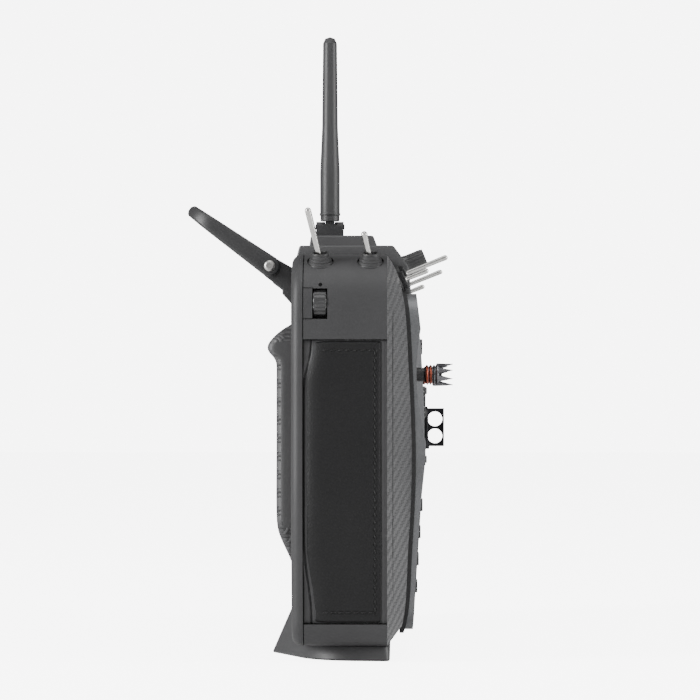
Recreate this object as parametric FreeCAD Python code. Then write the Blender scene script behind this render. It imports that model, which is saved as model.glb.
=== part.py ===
"""Hand-held radio transmitter controller, written as one STEP file for each piece.

Frame, in millimetres: +Z up, the front face looks towards -Y, and +X is on the right of a
person who faces the front. "Left" is -X. The origin is the centre of the stand foot's flat
underside, so the controller stands on z = 0.
"""

import FreeCAD, Part
import math
import os

V = FreeCAD.Vector
X_AXIS = V(1, 0, 0)
Y_AXIS = V(0, 1, 0)
Z_AXIS = V(0, 0, 1)
SIDES = {"left": -1, "right": 1}

# Case outline, seen from the front
HALF_WIDTH = 142.5
LOWER_HALF_WIDTH = 131.0
TOP = 170.0
BOTTOM = 6.5
WAIST = 66.0
WAIST_R = 120.0
SHOULDER_R = 24.0
LOWER_CORNER_R = 12.0

# Case depth, seen from the side
BAND_FRONT = -24.5
BAND_REAR = 10.4
BACK = 15.2
SEAM = -7.0
WALL = 2.5
BAND_T = 2.6
BACK_EDGE_R = 4.0
CHAMFER_DEPTH = 20.0
CHAMFER_SIDE = 45.0
CHAMFER_END = 24.0
GAP = 0.3
SEAM_GAP = 0.4

# Front profiles (y, z), from the bottom to the top
SHELL_PROFILE = [
    (-26.5, 2), (-30.7, 14.3), (-33.0, 41), (-34.3, 64), (-34.8, 84.5), (-34.3, 106),
    (-33.2, 128), (-31.6, 150), (-29.4, 160), (-27.4, 165), (-24.0, 170), (-19.0, 174),
]
PANEL_PROFILE = [
    (-34.6, 5), (-35.8, 18), (-36.7, 36), (-38.0, 56), (-39.3, 72), (-40.4, 83), (-40.8, 96),
    (-40.5, 110), (-39.9, 122), (-38.9, 136), (-37.4, 149), (-36.6, 156),
]

# Face panel and what it carries
PANEL_HALF_WIDTH = 117.5
PANEL_LOWER_HALF_WIDTH = 106.0
PANEL_BOTTOM = 11.6
PANEL_TOP = 154.0
TRIM_RIM = 1.6
TRIM_PROUD = 1.7
SCREEN_HALF = 51.0
SCREEN_LOW = 15.0
SCREEN_HIGH = 75.0
SCREEN_GLASS_T = 1.6
KEY_FIT = 0.3
KEY_DEPTH = 2.5
TRIM_PIN_R = 0.7
TRIM_PIN_DEPTH = 0.6

# Gimbals
GIMBAL_X = 76.0
GIMBAL_Y = -13.0
GIMBAL_Z = 120.0
DISH_R = 51.0
DISH_SLOPE = 2.25
DISH_FLOOR_Y = -33.5
GIMBAL_HOLE_R = 30.6
FRAME_HALF = 31.0
FRAME_FRONT = -33.2
FRAME_BACK = 6.0
FRAME_BORE_R = 26.5
FRAME_MOUTH_R = 16.6
YOKE_R = 24.0
YOKE_BORE_R = 20.8
TRUNNION_R = 2.5
STICK_PIN_R = 2.0
RUN_FIT = 0.05
DOME_R = 19.5
DOME_T = 2.0
SLEEVE_R = 3.0
SLEEVE_TIP = -40.2
STUD_R = 2.0
STUD_TIP = -48.0
RING_R = 4.25
CROWN_R = 5.0
CROWN_BORE_R = 3.4
CROWN_ROOT = -45.4
CROWN_FLOOR = -48.4
CROWN_TIP = -52.4
CROWN_TEETH = 8

# Top housing and antenna
HOUSING_HALF = 62.0
BLOCK_HALF = 31.0
HOUSING_TOP = 176.4
BLOCK_TOP = 182.2
HOUSING_PROFILE = [
    (-34.9, 154.3), (-33.7, 167.4), (-27.0, HOUSING_TOP), (14.0, HOUSING_TOP), (16.5, 166.6), (15.4, 154.3),
]
BLOCK_PROFILE = [(-20.6, HOUSING_TOP - 1), (-18.0, BLOCK_TOP), (9.8, BLOCK_TOP), (10.8, HOUSING_TOP - 1)]
ANTENNA_Y = 1.9
SWIVEL_R = 6.3
SWIVEL_DISC_Z = (180.0, 182.6)
FOLD_Z = 187.5
CHEEK_HALF = 2.3
CHEEK_WALL = 0.65
TONGUE_HALF = 2.0
ANTENNA_PIN_R = 0.8
NECK_R = 4.35
NECK_Z = 190.1
ROD_Z = 193.0
ROD_STEP_Z = (212.0, 233.0)
ROD_LOW_R = 4.5
ROD_HIGH_R = 3.6
ANTENNA_TIP = 274.0

# Handle
HANDLE_PIVOT = V(0, 27.2, 167.7)
HANDLE_RISE_DEG = 35.4
HANDLE_REACH = 44.3
HANDLE_HALF = 55.4
HANDLE_BAR = 5.2
HANDLE_ROOT_R = 4.5
HANDLE_TIP_R = 2.6
LUG_OUTER = 49.9
LUG_T = 5.0
HANDLE_PIN_R = 1.5
HANDLE_HEAD_R = 2.6

# Toggle switches
LEVER_BORE_R = 2.62
LEVER_BALL_R = 2.2
LEVER_BALL_RISE = 2.5
LEVER_PIN_R = 0.6
LEVER_PIN_REACH = 2.35
SHOULDER_NUT = (5.5, 3.4, 6.3)
FACE_NUT = (4.6, 3.7, 4.0)
SHOULDER_LEAN_DEG = 20.0
SHOULDER_X = 129.5
SHOULDER_BASE_Z = 164.4
SHOULDER_REAR_Y = 3.2
SHOULDER_FRONT_Y = -17.6
FACE_RISE_DEG = 22.0

# Knobs, side levers, strap hook, rear grips, foot
KNOB_X = 45.0
KNOB_RISE_DEG = 23.0
KNOB_TIP = V(KNOB_X, -40.9, 172.4)
KNOB_R = 3.9
KNOB_LENGTH = 11.5
KNOB_WELL_R = 4.2
SIDE_LEVER_X = 136.7
SIDE_LEVER_Z = 148.9
SIDE_LEVER_R = 6.8
SIDE_LEVER_Y = (0.4, 6.0)
SIGHT_HOLE = (3.0, 156.8)
SIGHT_HOLE_R = 0.8
HOOK_T = 2.2
HOOK_HOLE_R = 3.3
HOOK_HOLES_Z = (92.5, 100.2)
HOOK_HOLE_Y = -45.8
REAR_GRIP_X = (86.0, 122.0)
GRIP_PROFILE = [
    (8.0, 38.3, 0), (14.6, 38.3, 0), (21.9, 55.0, 14), (21.9, 123.5, 6), (26.6, 131.0, 3.2),
    (16.2, 141.6, 3), (8.0, 141.6, 0),
]
FOOT_BASE = [(122.0, -25.7, 2.5), (119.0, 5.5, 30.0), (74.0, 25.3, 5.0)]
FOOT_TOP = [(118.0, -24.5, 2.5), (114.0, 4.0, 28.0), (73.0, 16.6, 5.0)]
FOOT_TOP_Z = 20.0
GRIP_Z = (16.5, 133.9)


# ---------------------------------------------------------------- helpers

def box(x0, x1, y0, y1, z0, z1):
    return Part.makeBox(x1 - x0, y1 - y0, z1 - z0, V(x0, y0, z0))


def rod(radius, start, direction, length):
    return Part.makeCylinder(radius, length, start, direction)


def taper(start_r, end_r, start, direction, length):
    return Part.makeCone(start_r, end_r, length, start, direction)


def mirrored(shape):
    return shape.mirror(V(0, 0, 0), X_AXIS)


def both_sides(shape):
    return [shape, mirrored(shape)]


def in_xz(y):
    return lambda a, b: V(a, y, b)


def in_yz(x):
    return lambda a, b: V(x, a, b)


def rounded_wire(corners, place):
    """Closed wire through (a, b, radius) corners, each corner eased by a tangent arc."""
    starts = []
    edges = []
    ends = []
    for i, (a, b, radius) in enumerate(corners):
        corner = V(a, b, 0)
        back = (V(*corners[i - 1][:2], 0) - corner).normalize()
        ahead = (V(*corners[(i + 1) % len(corners)][:2], 0) - corner).normalize()
        half_angle = back.getAngle(ahead) / 2
        run = radius / math.tan(half_angle)
        start = corner + back * run
        end = corner + ahead * run
        if radius:
            middle = corner + (back + ahead).normalize() * (radius / math.sin(half_angle) - radius)
            arc = Part.Arc(place(start.x, start.y), place(middle.x, middle.y), place(end.x, end.y))
            edges.append(arc.toShape())
        starts.append(place(start.x, start.y))
        ends.append(place(end.x, end.y))
    for i, end in enumerate(ends):
        edges.append(Part.makeLine(end, starts[(i + 1) % len(starts)]))
    return Part.Wire(Part.__sortEdges__(edges))


def plate(corners, place, push):
    return Part.Face(rounded_wire(corners, place)).extrude(push)


def rounded_block(x, z, half_x, half_z, y0, y1, radius):
    """Block with rounded corners in the front view, from y0 to y1."""
    corners = [
        (x - half_x, z - half_z, radius), (x + half_x, z - half_z, radius),
        (x + half_x, z + half_z, radius), (x - half_x, z + half_z, radius),
    ]
    return plate(corners, in_xz(y0), V(0, y1 - y0, 0))


def behind(profile, shift):
    """Everything behind a smooth front profile, moved back by shift."""
    curve = Part.BSplineCurve()
    half = HALF_WIDTH + 10
    rear = 60.0
    curve.interpolate([V(-half, y + shift, z) for y, z in profile])
    low = curve.StartPoint
    high = curve.EndPoint
    edges = [
        curve.toShape(),
        Part.makeLine(high, V(-half, rear, high.z)),
        Part.makeLine(V(-half, rear, high.z), V(-half, rear, low.z)),
        Part.makeLine(V(-half, rear, low.z), low),
    ]
    return Part.Face(Part.Wire(edges)).extrude(V(2 * half, 0, 0))


def profile_y(profile, z):
    """Depth of a front profile at one height."""
    for (y0, z0), (y1, z1) in zip(profile, profile[1:]):
        if z0 <= z <= z1:
            return y0 + (y1 - y0) * (z - z0) / (z1 - z0)
    raise ValueError(f"height {z} is off the profile")


def case_outline(side, end, y):
    """The case's outline at depth y, pulled in by side at the sides and end at the top and bottom."""
    half = [
        (LOWER_HALF_WIDTH - side, BOTTOM + end, LOWER_CORNER_R),
        (HALF_WIDTH - side, WAIST, WAIST_R),
        (HALF_WIDTH - side, TOP - end, SHOULDER_R),
    ]
    return rounded_wire(half + [(-x, z, r) for x, z, r in reversed(half)], in_xz(y))


def case_slab(inset, y0, y1):
    return Part.Face(case_outline(inset, inset, y0)).extrude(V(0, y1 - y0, 0))


def panel_slab(grow, y0, y1):
    half = [
        (PANEL_LOWER_HALF_WIDTH + grow, PANEL_BOTTOM - grow, 14.0 + grow),
        (PANEL_HALF_WIDTH + grow, WAIST, WAIST_R),
        (PANEL_HALF_WIDTH + grow, PANEL_TOP + grow, 12.0 + grow),
    ]
    corners = half + [(-x, z, r) for x, z, r in reversed(half)]
    return plate(corners, in_xz(y0), V(0, y1 - y0, 0))


def rise(degrees):
    """Unit vector that points to the front and up by the given angle."""
    angle = math.radians(degrees)
    return V(0, -math.cos(angle), math.sin(angle))


def lean(degrees, side):
    """Unit vector that points up and outwards by the given angle."""
    angle = math.radians(degrees)
    return V(side * math.sin(angle), 0, math.cos(angle))


# ---------------------------------------------------------------- case

def chamfer_loft(shift):
    first = case_outline(0, 0, BAND_FRONT + shift)
    last = case_outline(CHAMFER_SIDE, CHAMFER_END, BAND_FRONT - CHAMFER_DEPTH + shift)
    return Part.makeLoft([first, last], True, True)


def front_outer():
    solid = case_slab(BAND_T, BAND_FRONT - 0.5, SEAM).fuse(chamfer_loft(0))
    return solid.common(behind(SHELL_PROFILE, 0))


def rear_outer():
    back = case_slab(0, BAND_REAR, BACK)
    rim = [e for e in back.Edges if abs(e.BoundBox.YMin - BACK) < 0.01 and e.BoundBox.YLength < 0.01]
    back = back.makeFillet(BACK_EDGE_R, rim)
    return case_slab(BAND_T, SEAM, BAND_REAR + 0.5).fuse(back)


def front_cavity():
    turn = BAND_FRONT - WALL
    ahead = chamfer_loft(WALL).common(box(-200, 200, -60, turn + 0.1, -10, 200))
    solid = case_slab(BAND_T + WALL, turn, SEAM + 0.1).fuse(ahead)
    return solid.common(behind(SHELL_PROFILE, WALL))


def side_lever_well(side):
    x0 = SIDE_LEVER_X - SIDE_LEVER_R - 1.2
    x1 = HALF_WIDTH + 5
    well = box(x0, x1, SIDE_LEVER_Y[0] - GAP, SIDE_LEVER_Y[1] + GAP, SIDE_LEVER_Z - 6.3, SIDE_LEVER_Z + 6.3)
    return well if side > 0 else mirrored(well)


def drum_well(side):
    """Room under the side panel for the whole side-lever drum."""
    half = SIDE_LEVER_R + 0.6
    well = box(SIDE_LEVER_X - half, HALF_WIDTH - BAND_T + 0.01, SIDE_LEVER_Y[0] - 1.3, SIDE_LEVER_Y[1] + 1.3,
               SIDE_LEVER_Z - half, SIDE_LEVER_Z + half)
    return well if side > 0 else mirrored(well)


def shoulder_x(z):
    """Half width of the case at a height within its rounded shoulder."""
    rise_z = z - (TOP - SHOULDER_R)
    return HALF_WIDTH - SHOULDER_R + math.sqrt(SHOULDER_R ** 2 - rise_z ** 2)


def lever_trim_cuts():
    """Seam lines of the small hatch round the side lever, and the sight hole above it."""
    rear = (SIDE_LEVER_Y[1], BAND_REAR)
    cuts = []
    for z in (SIDE_LEVER_Z - 6.5, SIDE_LEVER_Z + 6.3):
        x = shoulder_x(z) - 0.6
        cuts.append(box(x, x + 5, *rear, z, z + 0.45))
    x = shoulder_x(SIGHT_HOLE[1]) - 1.6
    return cuts + [rod(SIGHT_HOLE_R, V(x, *SIGHT_HOLE), X_AXIS, 6)]


def shoulder_seats():
    """Round seats cut into the shoulders for the dress nuts."""
    seats = []
    for side in SIDES.values():
        for y in (SHOULDER_REAR_Y, SHOULDER_FRONT_Y):
            base = V(side * SHOULDER_X, y, SHOULDER_BASE_Z)
            seats.append(rod(SHOULDER_NUT[0] + 0.02, base, lean(SHOULDER_LEAN_DEG, side), 20))
    return seats


def face_switch_bases():
    """Base point, lever length and name of each toggle on the upper front face."""
    for word, side in SIDES.items():
        yield f"toggle_long_{word}", V(side * 86.0, -28.9, 161.8), 21.9
        yield f"toggle_short_{word}", V(side * 107.0, -28.6, 158.6), 13.2


def face_seats():
    direction = rise(FACE_RISE_DEG)
    return [rod(FACE_NUT[0] + 0.02, base, direction, 20) for _, base, _ in face_switch_bases()]


def screw_spots():
    """Places of the rear case screws, (x, z)."""
    for side in SIDES.values():
        for x, z in ((70.0, 158.0), (130.0, 120.0), (76.0, 30.0)):
            yield side * x, z


def front_shell():
    shell = front_outer().cut(front_cavity())
    cuts = [rod(GIMBAL_HOLE_R, V(s * GIMBAL_X, -60, GIMBAL_Z), Y_AXIS, 40) for s in SIDES.values()]
    cuts.append(box(-SCREEN_HALF + 1, SCREEN_HALF - 1, -60, -24, SCREEN_LOW + 2, SCREEN_HIGH - 2))
    cuts.append(scroll_wheel_well())
    return shell.cut(cuts + face_seats() + shoulder_seats())


def rear_shell():
    shell = rear_outer().cut(case_slab(BAND_T + WALL, SEAM - 0.1, BACK - WALL))
    cuts = shoulder_seats()
    cuts += [drum_well(s) for s in SIDES.values()]
    for x, z in screw_spots():
        cuts.append(rod(2.8, V(x, BACK - 1.5, z), Y_AXIS, 3))
        cuts.append(rod(1.5, V(x, BACK - 6, z), Y_AXIS, 6))
    return shell.cut(cuts)


def case_screws():
    heads = []
    for x, z in screw_spots():
        head = rod(2.7, V(x, BACK - 1.5, z), Y_AXIS, 1.4)
        shank = rod(1.4, V(x, BACK - 10, z), Y_AXIS, 9)
        heads.append(head.fuse(shank).removeSplitter())
    return Part.makeCompound(heads)


def band_ring():
    outside = case_slab(0, BAND_FRONT + 0.02, BAND_REAR - SEAM_GAP)
    inside = case_slab(BAND_T, BAND_FRONT - 1, BAND_REAR + 1)
    return outside.cut([inside, front_outer(), rear_outer()])


def side_panels():
    """Upper and lower trim panels on both sides, with the wells that the switches need."""
    ring = band_ring()
    upper = ring.common(box(HOUSING_HALF + GAP, 200, -60, 60, GRIP_Z[1] + GAP, 200))
    upper = upper.cut(shoulder_seats() + [side_lever_well(1)] + lever_trim_cuts())
    lower = ring.common(box(99, 200, -60, 60, 0, GRIP_Z[0] - GAP))
    return Part.makeCompound(both_sides(upper) + both_sides(lower))


def side_grip(side):
    grip = band_ring().common(box(100, 200, -60, 60, *GRIP_Z))
    return grip if side > 0 else mirrored(grip)


def rear_grip(side):
    x0, x1 = REAR_GRIP_X
    solid = plate(GRIP_PROFILE, in_yz(x0), V(x1 - x0, 0, 0))
    corner = [
        (x0, 60, 14), (x0 + 10, 38, 6), (x1 - 8, 38, 6), (x1, 60, 14), (x1, 142, 9), (x0, 142, 9),
    ]
    solid = solid.common(plate(corner, in_xz(0), V(0, 40, 0))).cut(rear_outer())
    solid = max(solid.Solids, key=lambda s: s.Volume)
    return solid if side > 0 else mirrored(solid)


def foot_wire(corners, z):
    ring = corners + [(-x, y, r) for x, y, r in reversed(corners)]
    return rounded_wire(ring, lambda a, b: V(a, b, z))


def stand_foot():
    foot = Part.makeLoft([foot_wire(FOOT_BASE, 0), foot_wire(FOOT_TOP, FOOT_TOP_Z)], True, True)
    foot = foot.cut([front_outer(), rear_outer(), side_panels()])
    foot = foot.cut(case_slab(0, BAND_FRONT - 8, BAND_REAR + 0.1))
    return max(foot.Solids, key=lambda s: s.Volume)


# ---------------------------------------------------------------- top housing and antenna

def top_housing():
    flat = [(y, z, 0) for y, z in HOUSING_PROFILE]
    housing = plate(flat, in_yz(-HOUSING_HALF), V(2 * HOUSING_HALF, 0, 0))
    flat = [(y, z, 0) for y, z in BLOCK_PROFILE]
    housing = housing.fuse(plate(flat, in_yz(-BLOCK_HALF), V(2 * BLOCK_HALF, 0, 0))).removeSplitter()
    housing = housing.cut([front_outer(), rear_outer(), case_slab(BAND_T, -8, -6)])
    housing = max(housing.Solids, key=lambda s: s.Volume)
    wells = [rod(SWIVEL_R + 0.2, V(0, ANTENNA_Y, SWIVEL_DISC_Z[0] - 0.05), Z_AXIS, 10)]
    wells += [rod(KNOB_WELL_R, knob_back(s), rise(KNOB_RISE_DEG), 30) for s in SIDES.values()]
    return housing.cut(wells)


def antenna_swivel():
    disc = rod(SWIVEL_R, V(0, ANTENNA_Y, SWIVEL_DISC_Z[0]), Z_AXIS, SWIVEL_DISC_Z[1] - SWIVEL_DISC_Z[0])
    low = SWIVEL_DISC_Z[1] - 0.5
    inner = TONGUE_HALF + 0.15
    cheeks = []
    for y0, y1 in ((inner, SWIVEL_R - 0.1), (-SWIVEL_R + 0.1, -inner)):
        y0 += ANTENNA_Y
        y1 += ANTENNA_Y
        cheeks.append(box(-CHEEK_HALF, CHEEK_HALF, y0, y1, low, FOLD_Z))
        cheeks.append(rod(CHEEK_HALF, V(0, y0, FOLD_Z), Y_AXIS, y1 - y0))
    web = inner + 0.5
    cheeks.append(box(-CHEEK_HALF, CHEEK_HALF, ANTENNA_Y - web, ANTENNA_Y + web, low, FOLD_Z - 1.8))
    # Wall behind the tongue, on the side that the rod never folds to.
    cheeks.append(box(-CHEEK_HALF, CHEEK_WALL - CHEEK_HALF, ANTENNA_Y - web, ANTENNA_Y + web, low, FOLD_Z + 1.4))
    pin_from = V(0, ANTENNA_Y - SWIVEL_R + 1, FOLD_Z)
    pin = rod(ANTENNA_PIN_R, pin_from, Y_AXIS, 2 * SWIVEL_R - 2)
    return disc.fuse(cheeks + [pin]).removeSplitter()


def antenna_rod():
    """Sleeve that swells towards its foot, with a domed tip and a flat tongue that the pin passes through."""
    low, high = ROD_STEP_Z
    outline = [
        V(0, 0, NECK_Z), V(NECK_R, 0, NECK_Z), V(NECK_R, 0, ROD_Z - 0.25),
        V(NECK_R - 0.3, 0, ROD_Z - 0.25), V(NECK_R - 0.3, 0, ROD_Z), V(ROD_LOW_R, 0, ROD_Z),
        V(ROD_LOW_R, 0, low), V(ROD_HIGH_R, 0, high),
        V(ROD_HIGH_R - 0.4, 0, ANTENNA_TIP - 3), V(ROD_HIGH_R - 1.4, 0, ANTENNA_TIP - 0.8),
        V(0, 0, ANTENNA_TIP), V(0, 0, NECK_Z),
    ]
    body = Part.Face(Part.makePolygon(outline)).revolve(V(0, 0, 0), Z_AXIS, 360)
    body.translate(V(0, ANTENNA_Y, 0))
    tongue = box(-1.5, 1.5, ANTENNA_Y - TONGUE_HALF, ANTENNA_Y + TONGUE_HALF, FOLD_Z, NECK_Z + 1)
    knuckle = rod(1.5, V(0, ANTENNA_Y - TONGUE_HALF, FOLD_Z), Y_AXIS, 2 * TONGUE_HALF)
    hole = rod(ANTENNA_PIN_R + RUN_FIT, V(0, ANTENNA_Y - 5, FOLD_Z), Y_AXIS, 10)
    return body.fuse([tongue, knuckle]).cut(hole)


# ---------------------------------------------------------------- handle

def handle_frame(shape):
    """Carry a shape from the handle's own frame, +Y along its arms, to its place."""
    shape.rotate(V(0, 0, 0), X_AXIS, HANDLE_RISE_DEG)
    shape.translate(HANDLE_PIVOT)
    return shape


def handle():
    """Bow of two tapering arms and a cross bar."""
    reach = HANDLE_REACH
    outer = [(-HANDLE_HALF, -8, 0), (HANDLE_HALF, -8, 0), (HANDLE_HALF, reach, 15), (-HANDLE_HALF, reach, 15)]
    inner_half = HANDLE_HALF - HANDLE_BAR
    inner_reach = reach - 6.5
    inner = [(inner_half, -9, 0), (inner_half, inner_reach, 11)]
    inner += [(-a, b, r) for a, b, r in reversed(inner)]
    flat = lambda a, b: V(a, b, -8)
    bow = plate(outer, flat, V(0, 0, 16)).cut(plate(inner, flat, V(0, 0, 16)))
    taper_side = [
        (0, -HANDLE_ROOT_R, 0), (reach, -HANDLE_TIP_R, 2.4), (reach, HANDLE_TIP_R, 2.4), (0, HANDLE_ROOT_R, 0),
    ]
    side = plate(taper_side, in_yz(-60), V(120, 0, 0)).fuse(rod(HANDLE_ROOT_R, V(-60, 0, 0), X_AXIS, 120))
    bow = bow.common(side)
    bow = bow.cut(rod(HANDLE_PIN_R, V(-70, 0, 0), X_AXIS, 140))
    return handle_frame(bow)


def handle_screws():
    screws = []
    for side in SIDES.values():
        shank = rod(HANDLE_PIN_R, V(side * (LUG_OUTER - LUG_T + 0.5), 0, 0), X_AXIS * side, 10.4)
        head = rod(HANDLE_HEAD_R, V(side * HANDLE_HALF, 0, 0), X_AXIS * side, 1.1)
        screws.append(handle_frame(shank.fuse(head)))
    return Part.makeCompound(screws)


def handle_lugs():
    """Two fixed ears on the rear shell, with a wedge-shaped root under each."""
    pivot = HANDLE_PIVOT
    ear = [(13.0, 157.0, 0), (13.0, 164.6, 0), (pivot.y - 1, pivot.z + 4.5, 2), (pivot.y + 4.4, pivot.z + 2, 3),
           (pivot.y + 2.6, pivot.z - 4.2, 3), (21.0, 157.0, 0)]
    root = [(13.0, 148.0, 0), (13.0, 163.8, 0), (15.4, 163.0, 0), (21.9, 158.0, 1), (21.9, 155.6, 1),
            (15.0, 148.0, 0)]
    ears = plate(ear, in_yz(LUG_OUTER - LUG_T), V(LUG_T, 0, 0))
    roots = plate(root, in_yz(LUG_OUTER - LUG_T - 6), V(LUG_T + 6, 0, 0))
    lug = ears.fuse(roots).cut([rear_outer(), top_housing_envelope()])
    lug = max(lug.Solids, key=lambda s: s.Volume)
    lug = lug.cut(rod(HANDLE_PIN_R + RUN_FIT, V(30, pivot.y, pivot.z), X_AXIS, 40))
    return Part.makeCompound(both_sides(lug.removeSplitter()))


def top_housing_envelope():
    flat = [(y, z, 0) for y, z in HOUSING_PROFILE]
    return plate(flat, in_yz(-HOUSING_HALF), V(2 * HOUSING_HALF, 0, 0))


# ---------------------------------------------------------------- front face

def scroll_wheel_centre():
    return V(66.0, profile_y(PANEL_PROFILE, 50.0) + 5.2, 50.0)


def scroll_wheel_well():
    centre = scroll_wheel_centre()
    return rod(7.5, centre - X_AXIS * 3.9, X_AXIS, 7.8)


def keys():
    """Name, x, z, half width, half height and height above the face of each push key."""
    for i in range(6):
        yield f"mode_button_{i + 1}", -20.0 + 8.0 * i, 132.7, 3.2, 3.4, 0.8
    for i in range(4):
        yield f"menu_key_{i + 1}", -68.0, 63.6 - 11.7 * i, 6.0, 2.7, 1.1
    yield "page_key", 66.0, 63.6, 6.0, 2.7, 1.1
    yield "return_key", 66.0, 36.4, 6.0, 2.7, 1.1
    yield "power_button", 0.0, 80.4, 4.2, 4.2, 0.8


def trims():
    """Name, x, z, half width and half height of each rocking trim switch."""
    for word, side in SIDES.items():
        yield f"trim_upright_{word}", side * 17.0, 108.0, 2.6, 7.0
        yield f"trim_level_{word}", side * 30.0, 82.5, 7.0, 2.6


def push_key(x, z, half_x, half_z, proud):
    front = profile_y(PANEL_PROFILE, z) - proud
    return rounded_block(x, z, half_x, half_z, front, front + proud + KEY_DEPTH, min(half_x, half_z) * 0.6)


def trim_rocker(x, z, half_x, half_z):
    """Short bar with a raised end at each side of its pivot."""
    face = profile_y(PANEL_PROFILE, z)
    bar = rounded_block(x, z, half_x, half_z, face - 0.9, face + 1.9, 2.0)
    reach_x = half_x - 2.0 if half_x > half_z else 0
    reach_z = half_z - 2.0 if half_z > half_x else 0
    tips = [rod(1.5, V(x + s * reach_x, face - 1.5, z + s * reach_z), Y_AXIS, 1.5) for s in SIDES.values()]
    upright = half_z > half_x
    reach = 0.3 + min(half_x, half_z)
    along = X_AXIS if upright else Z_AXIS
    pin = rod(TRIM_PIN_R, V(x, face + TRIM_PIN_DEPTH, z) - along * reach, along, 2 * reach)
    return bar.fuse(tips + [pin]).removeSplitter()


def key_wells():
    wells = []
    for _, x, z, half_x, half_z, _ in keys():
        radius = min(half_x, half_z) * 0.6 + KEY_FIT
        wells.append(rounded_block(x, z, half_x + KEY_FIT, half_z + KEY_FIT, -60, -20, radius))
    for _, x, z, half_x, half_z in trims():
        wells.append(rounded_block(x, z, half_x + 0.4, half_z + 0.4, -60, -20, 2.0))
    return wells


def face_body():
    slab = panel_slab(0, -60, -20)
    return slab.common(behind(PANEL_PROFILE, 0)).cut(behind(SHELL_PROFILE, 0))


def dish(side):
    """Cone-shaped scoop round a gimbal; it breaks out through the panel's edge."""
    top_y = -41.0
    deep = DISH_FLOOR_Y - top_y
    return taper(DISH_R, DISH_R - DISH_SLOPE * deep, V(side * GIMBAL_X, top_y, GIMBAL_Z), Y_AXIS, deep)


def face_panel():
    panel = face_body().cut([dish(s) for s in SIDES.values()])
    panel = panel.cut([rod(33.0, V(s * GIMBAL_X, -60, GIMBAL_Z), Y_AXIS, 40) for s in SIDES.values()])
    window = box(-SCREEN_HALF - GAP, SCREEN_HALF + GAP, -60, -20, SCREEN_LOW - GAP, SCREEN_HIGH + GAP)
    panel = panel.cut(key_wells() + [window, scroll_wheel_well()])
    panel = panel.cut(face_seats())
    return max(panel.Solids, key=lambda s: s.Volume)


def front_gasket():
    """Dark rim that stands between the face panel and the case's front edge."""
    rim = panel_slab(TRIM_RIM, -60, -20).cut(panel_slab(0.05, -61, -19))
    rim = rim.common(behind(SHELL_PROFILE, -TRIM_PROUD)).cut([behind(SHELL_PROFILE, 0)] + face_seats())
    return Part.makeCompound([s for s in rim.cut(top_housing_envelope()).Solids if s.Volume > 1])


def screen_plate(front_gap, back_gap, half, low, high):
    """Flat plate behind the face, parallel to the line from the screen's foot to its head."""
    foot = profile_y(PANEL_PROFILE, SCREEN_LOW)
    head = profile_y(PANEL_PROFILE, SCREEN_HIGH)
    slope = (head - foot) / (SCREEN_HIGH - SCREEN_LOW)
    at = lambda z, gap: (foot + slope * (z - SCREEN_LOW) + gap, z, 0)
    return plate([at(low, front_gap), at(high, front_gap), at(high, back_gap), at(low, back_gap)],
                 in_yz(-half), V(2 * half, 0, 0))


def screen_lens():
    return screen_plate(0.9, 0.9 + SCREEN_GLASS_T, SCREEN_HALF, SCREEN_LOW, SCREEN_HIGH)


def lcd_module():
    front = 0.9 + SCREEN_GLASS_T
    return screen_plate(front, front + 3.4, SCREEN_HALF - 1.3, SCREEN_LOW + 2.3, SCREEN_HIGH - 2.3)


def main_board():
    board = box(-60, 60, -23.6, -22.0, 14, 86)
    processor = box(-8, 8, -22.0, -20.2, 42, 58)
    radio = box(22, 44, -22.0, -19.4, 60, 80)
    return board.fuse([processor, radio])


def battery_cells():
    cells = [rod(10.4, V(-35, -2.0, z), X_AXIS, 70) for z in (30.0, 52.0)]
    return Part.makeCompound(cells)


def scroll_wheel():
    centre = scroll_wheel_centre()
    wheel = rod(7.0, centre - X_AXIS * 3.4, X_AXIS, 6.8)
    hub = rod(1.5, centre - X_AXIS * 3.8, X_AXIS, 7.6)
    return wheel.fuse(hub).removeSplitter()


def neck_strap_hook():
    plate_solid = box(-HOOK_T / 2, HOOK_T / 2, -49.9, -42.0, 87.8, 105.1)
    flange = rounded_block(0, 96.2, 7.0, 9.6, -42.4, -40.9, 2.0)
    peg = box(-3.5, 3.5, -43.2, -41.5, 86.6, 89.6)
    holes = [rod(HOOK_HOLE_R, V(-5, HOOK_HOLE_Y, z), X_AXIS, 10) for z in HOOK_HOLES_Z]
    return plate_solid.fuse([flange, peg]).cut(holes).cut(face_body()).removeSplitter()


# ---------------------------------------------------------------- gimbals and sticks

def gimbal_frame():
    x = GIMBAL_X
    frame = box(x - FRAME_HALF, x + FRAME_HALF, -30.6, FRAME_BACK, GIMBAL_Z - FRAME_HALF, GIMBAL_Z + FRAME_HALF)
    frame = frame.cut(front_solid_outside())
    ring = rod(GIMBAL_HOLE_R - 0.1, V(x, FRAME_FRONT, GIMBAL_Z), Y_AXIS, 4)
    funnel = taper(27.0, FRAME_MOUTH_R, V(x, FRAME_FRONT, GIMBAL_Z), Y_AXIS, 2.2)
    mouth = rod(FRAME_MOUTH_R, V(x, -40, GIMBAL_Z), Y_AXIS, 20)
    bore = rod(FRAME_BORE_R, V(x, -29.6, GIMBAL_Z), Y_AXIS, 40)
    bearing = rod(TRUNNION_R + RUN_FIT, V(x - 60, GIMBAL_Y, GIMBAL_Z), X_AXIS, 120)
    bearing = bearing.common(box(x - FRAME_HALF + 0.8, x + FRAME_HALF - 0.8, -60, 60, 0, 200))
    return frame.fuse(ring).cut([funnel, mouth, bore, bearing]).removeSplitter()


def front_solid_outside():
    """What lies outside the front shell's inner face, for trimming the gimbal frames."""
    return box(-200, 200, -60, 0, 0, 200).cut(behind(SHELL_PROFILE, WALL))


def gimbal_frames():
    return Part.makeCompound(both_sides(gimbal_frame()))


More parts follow.
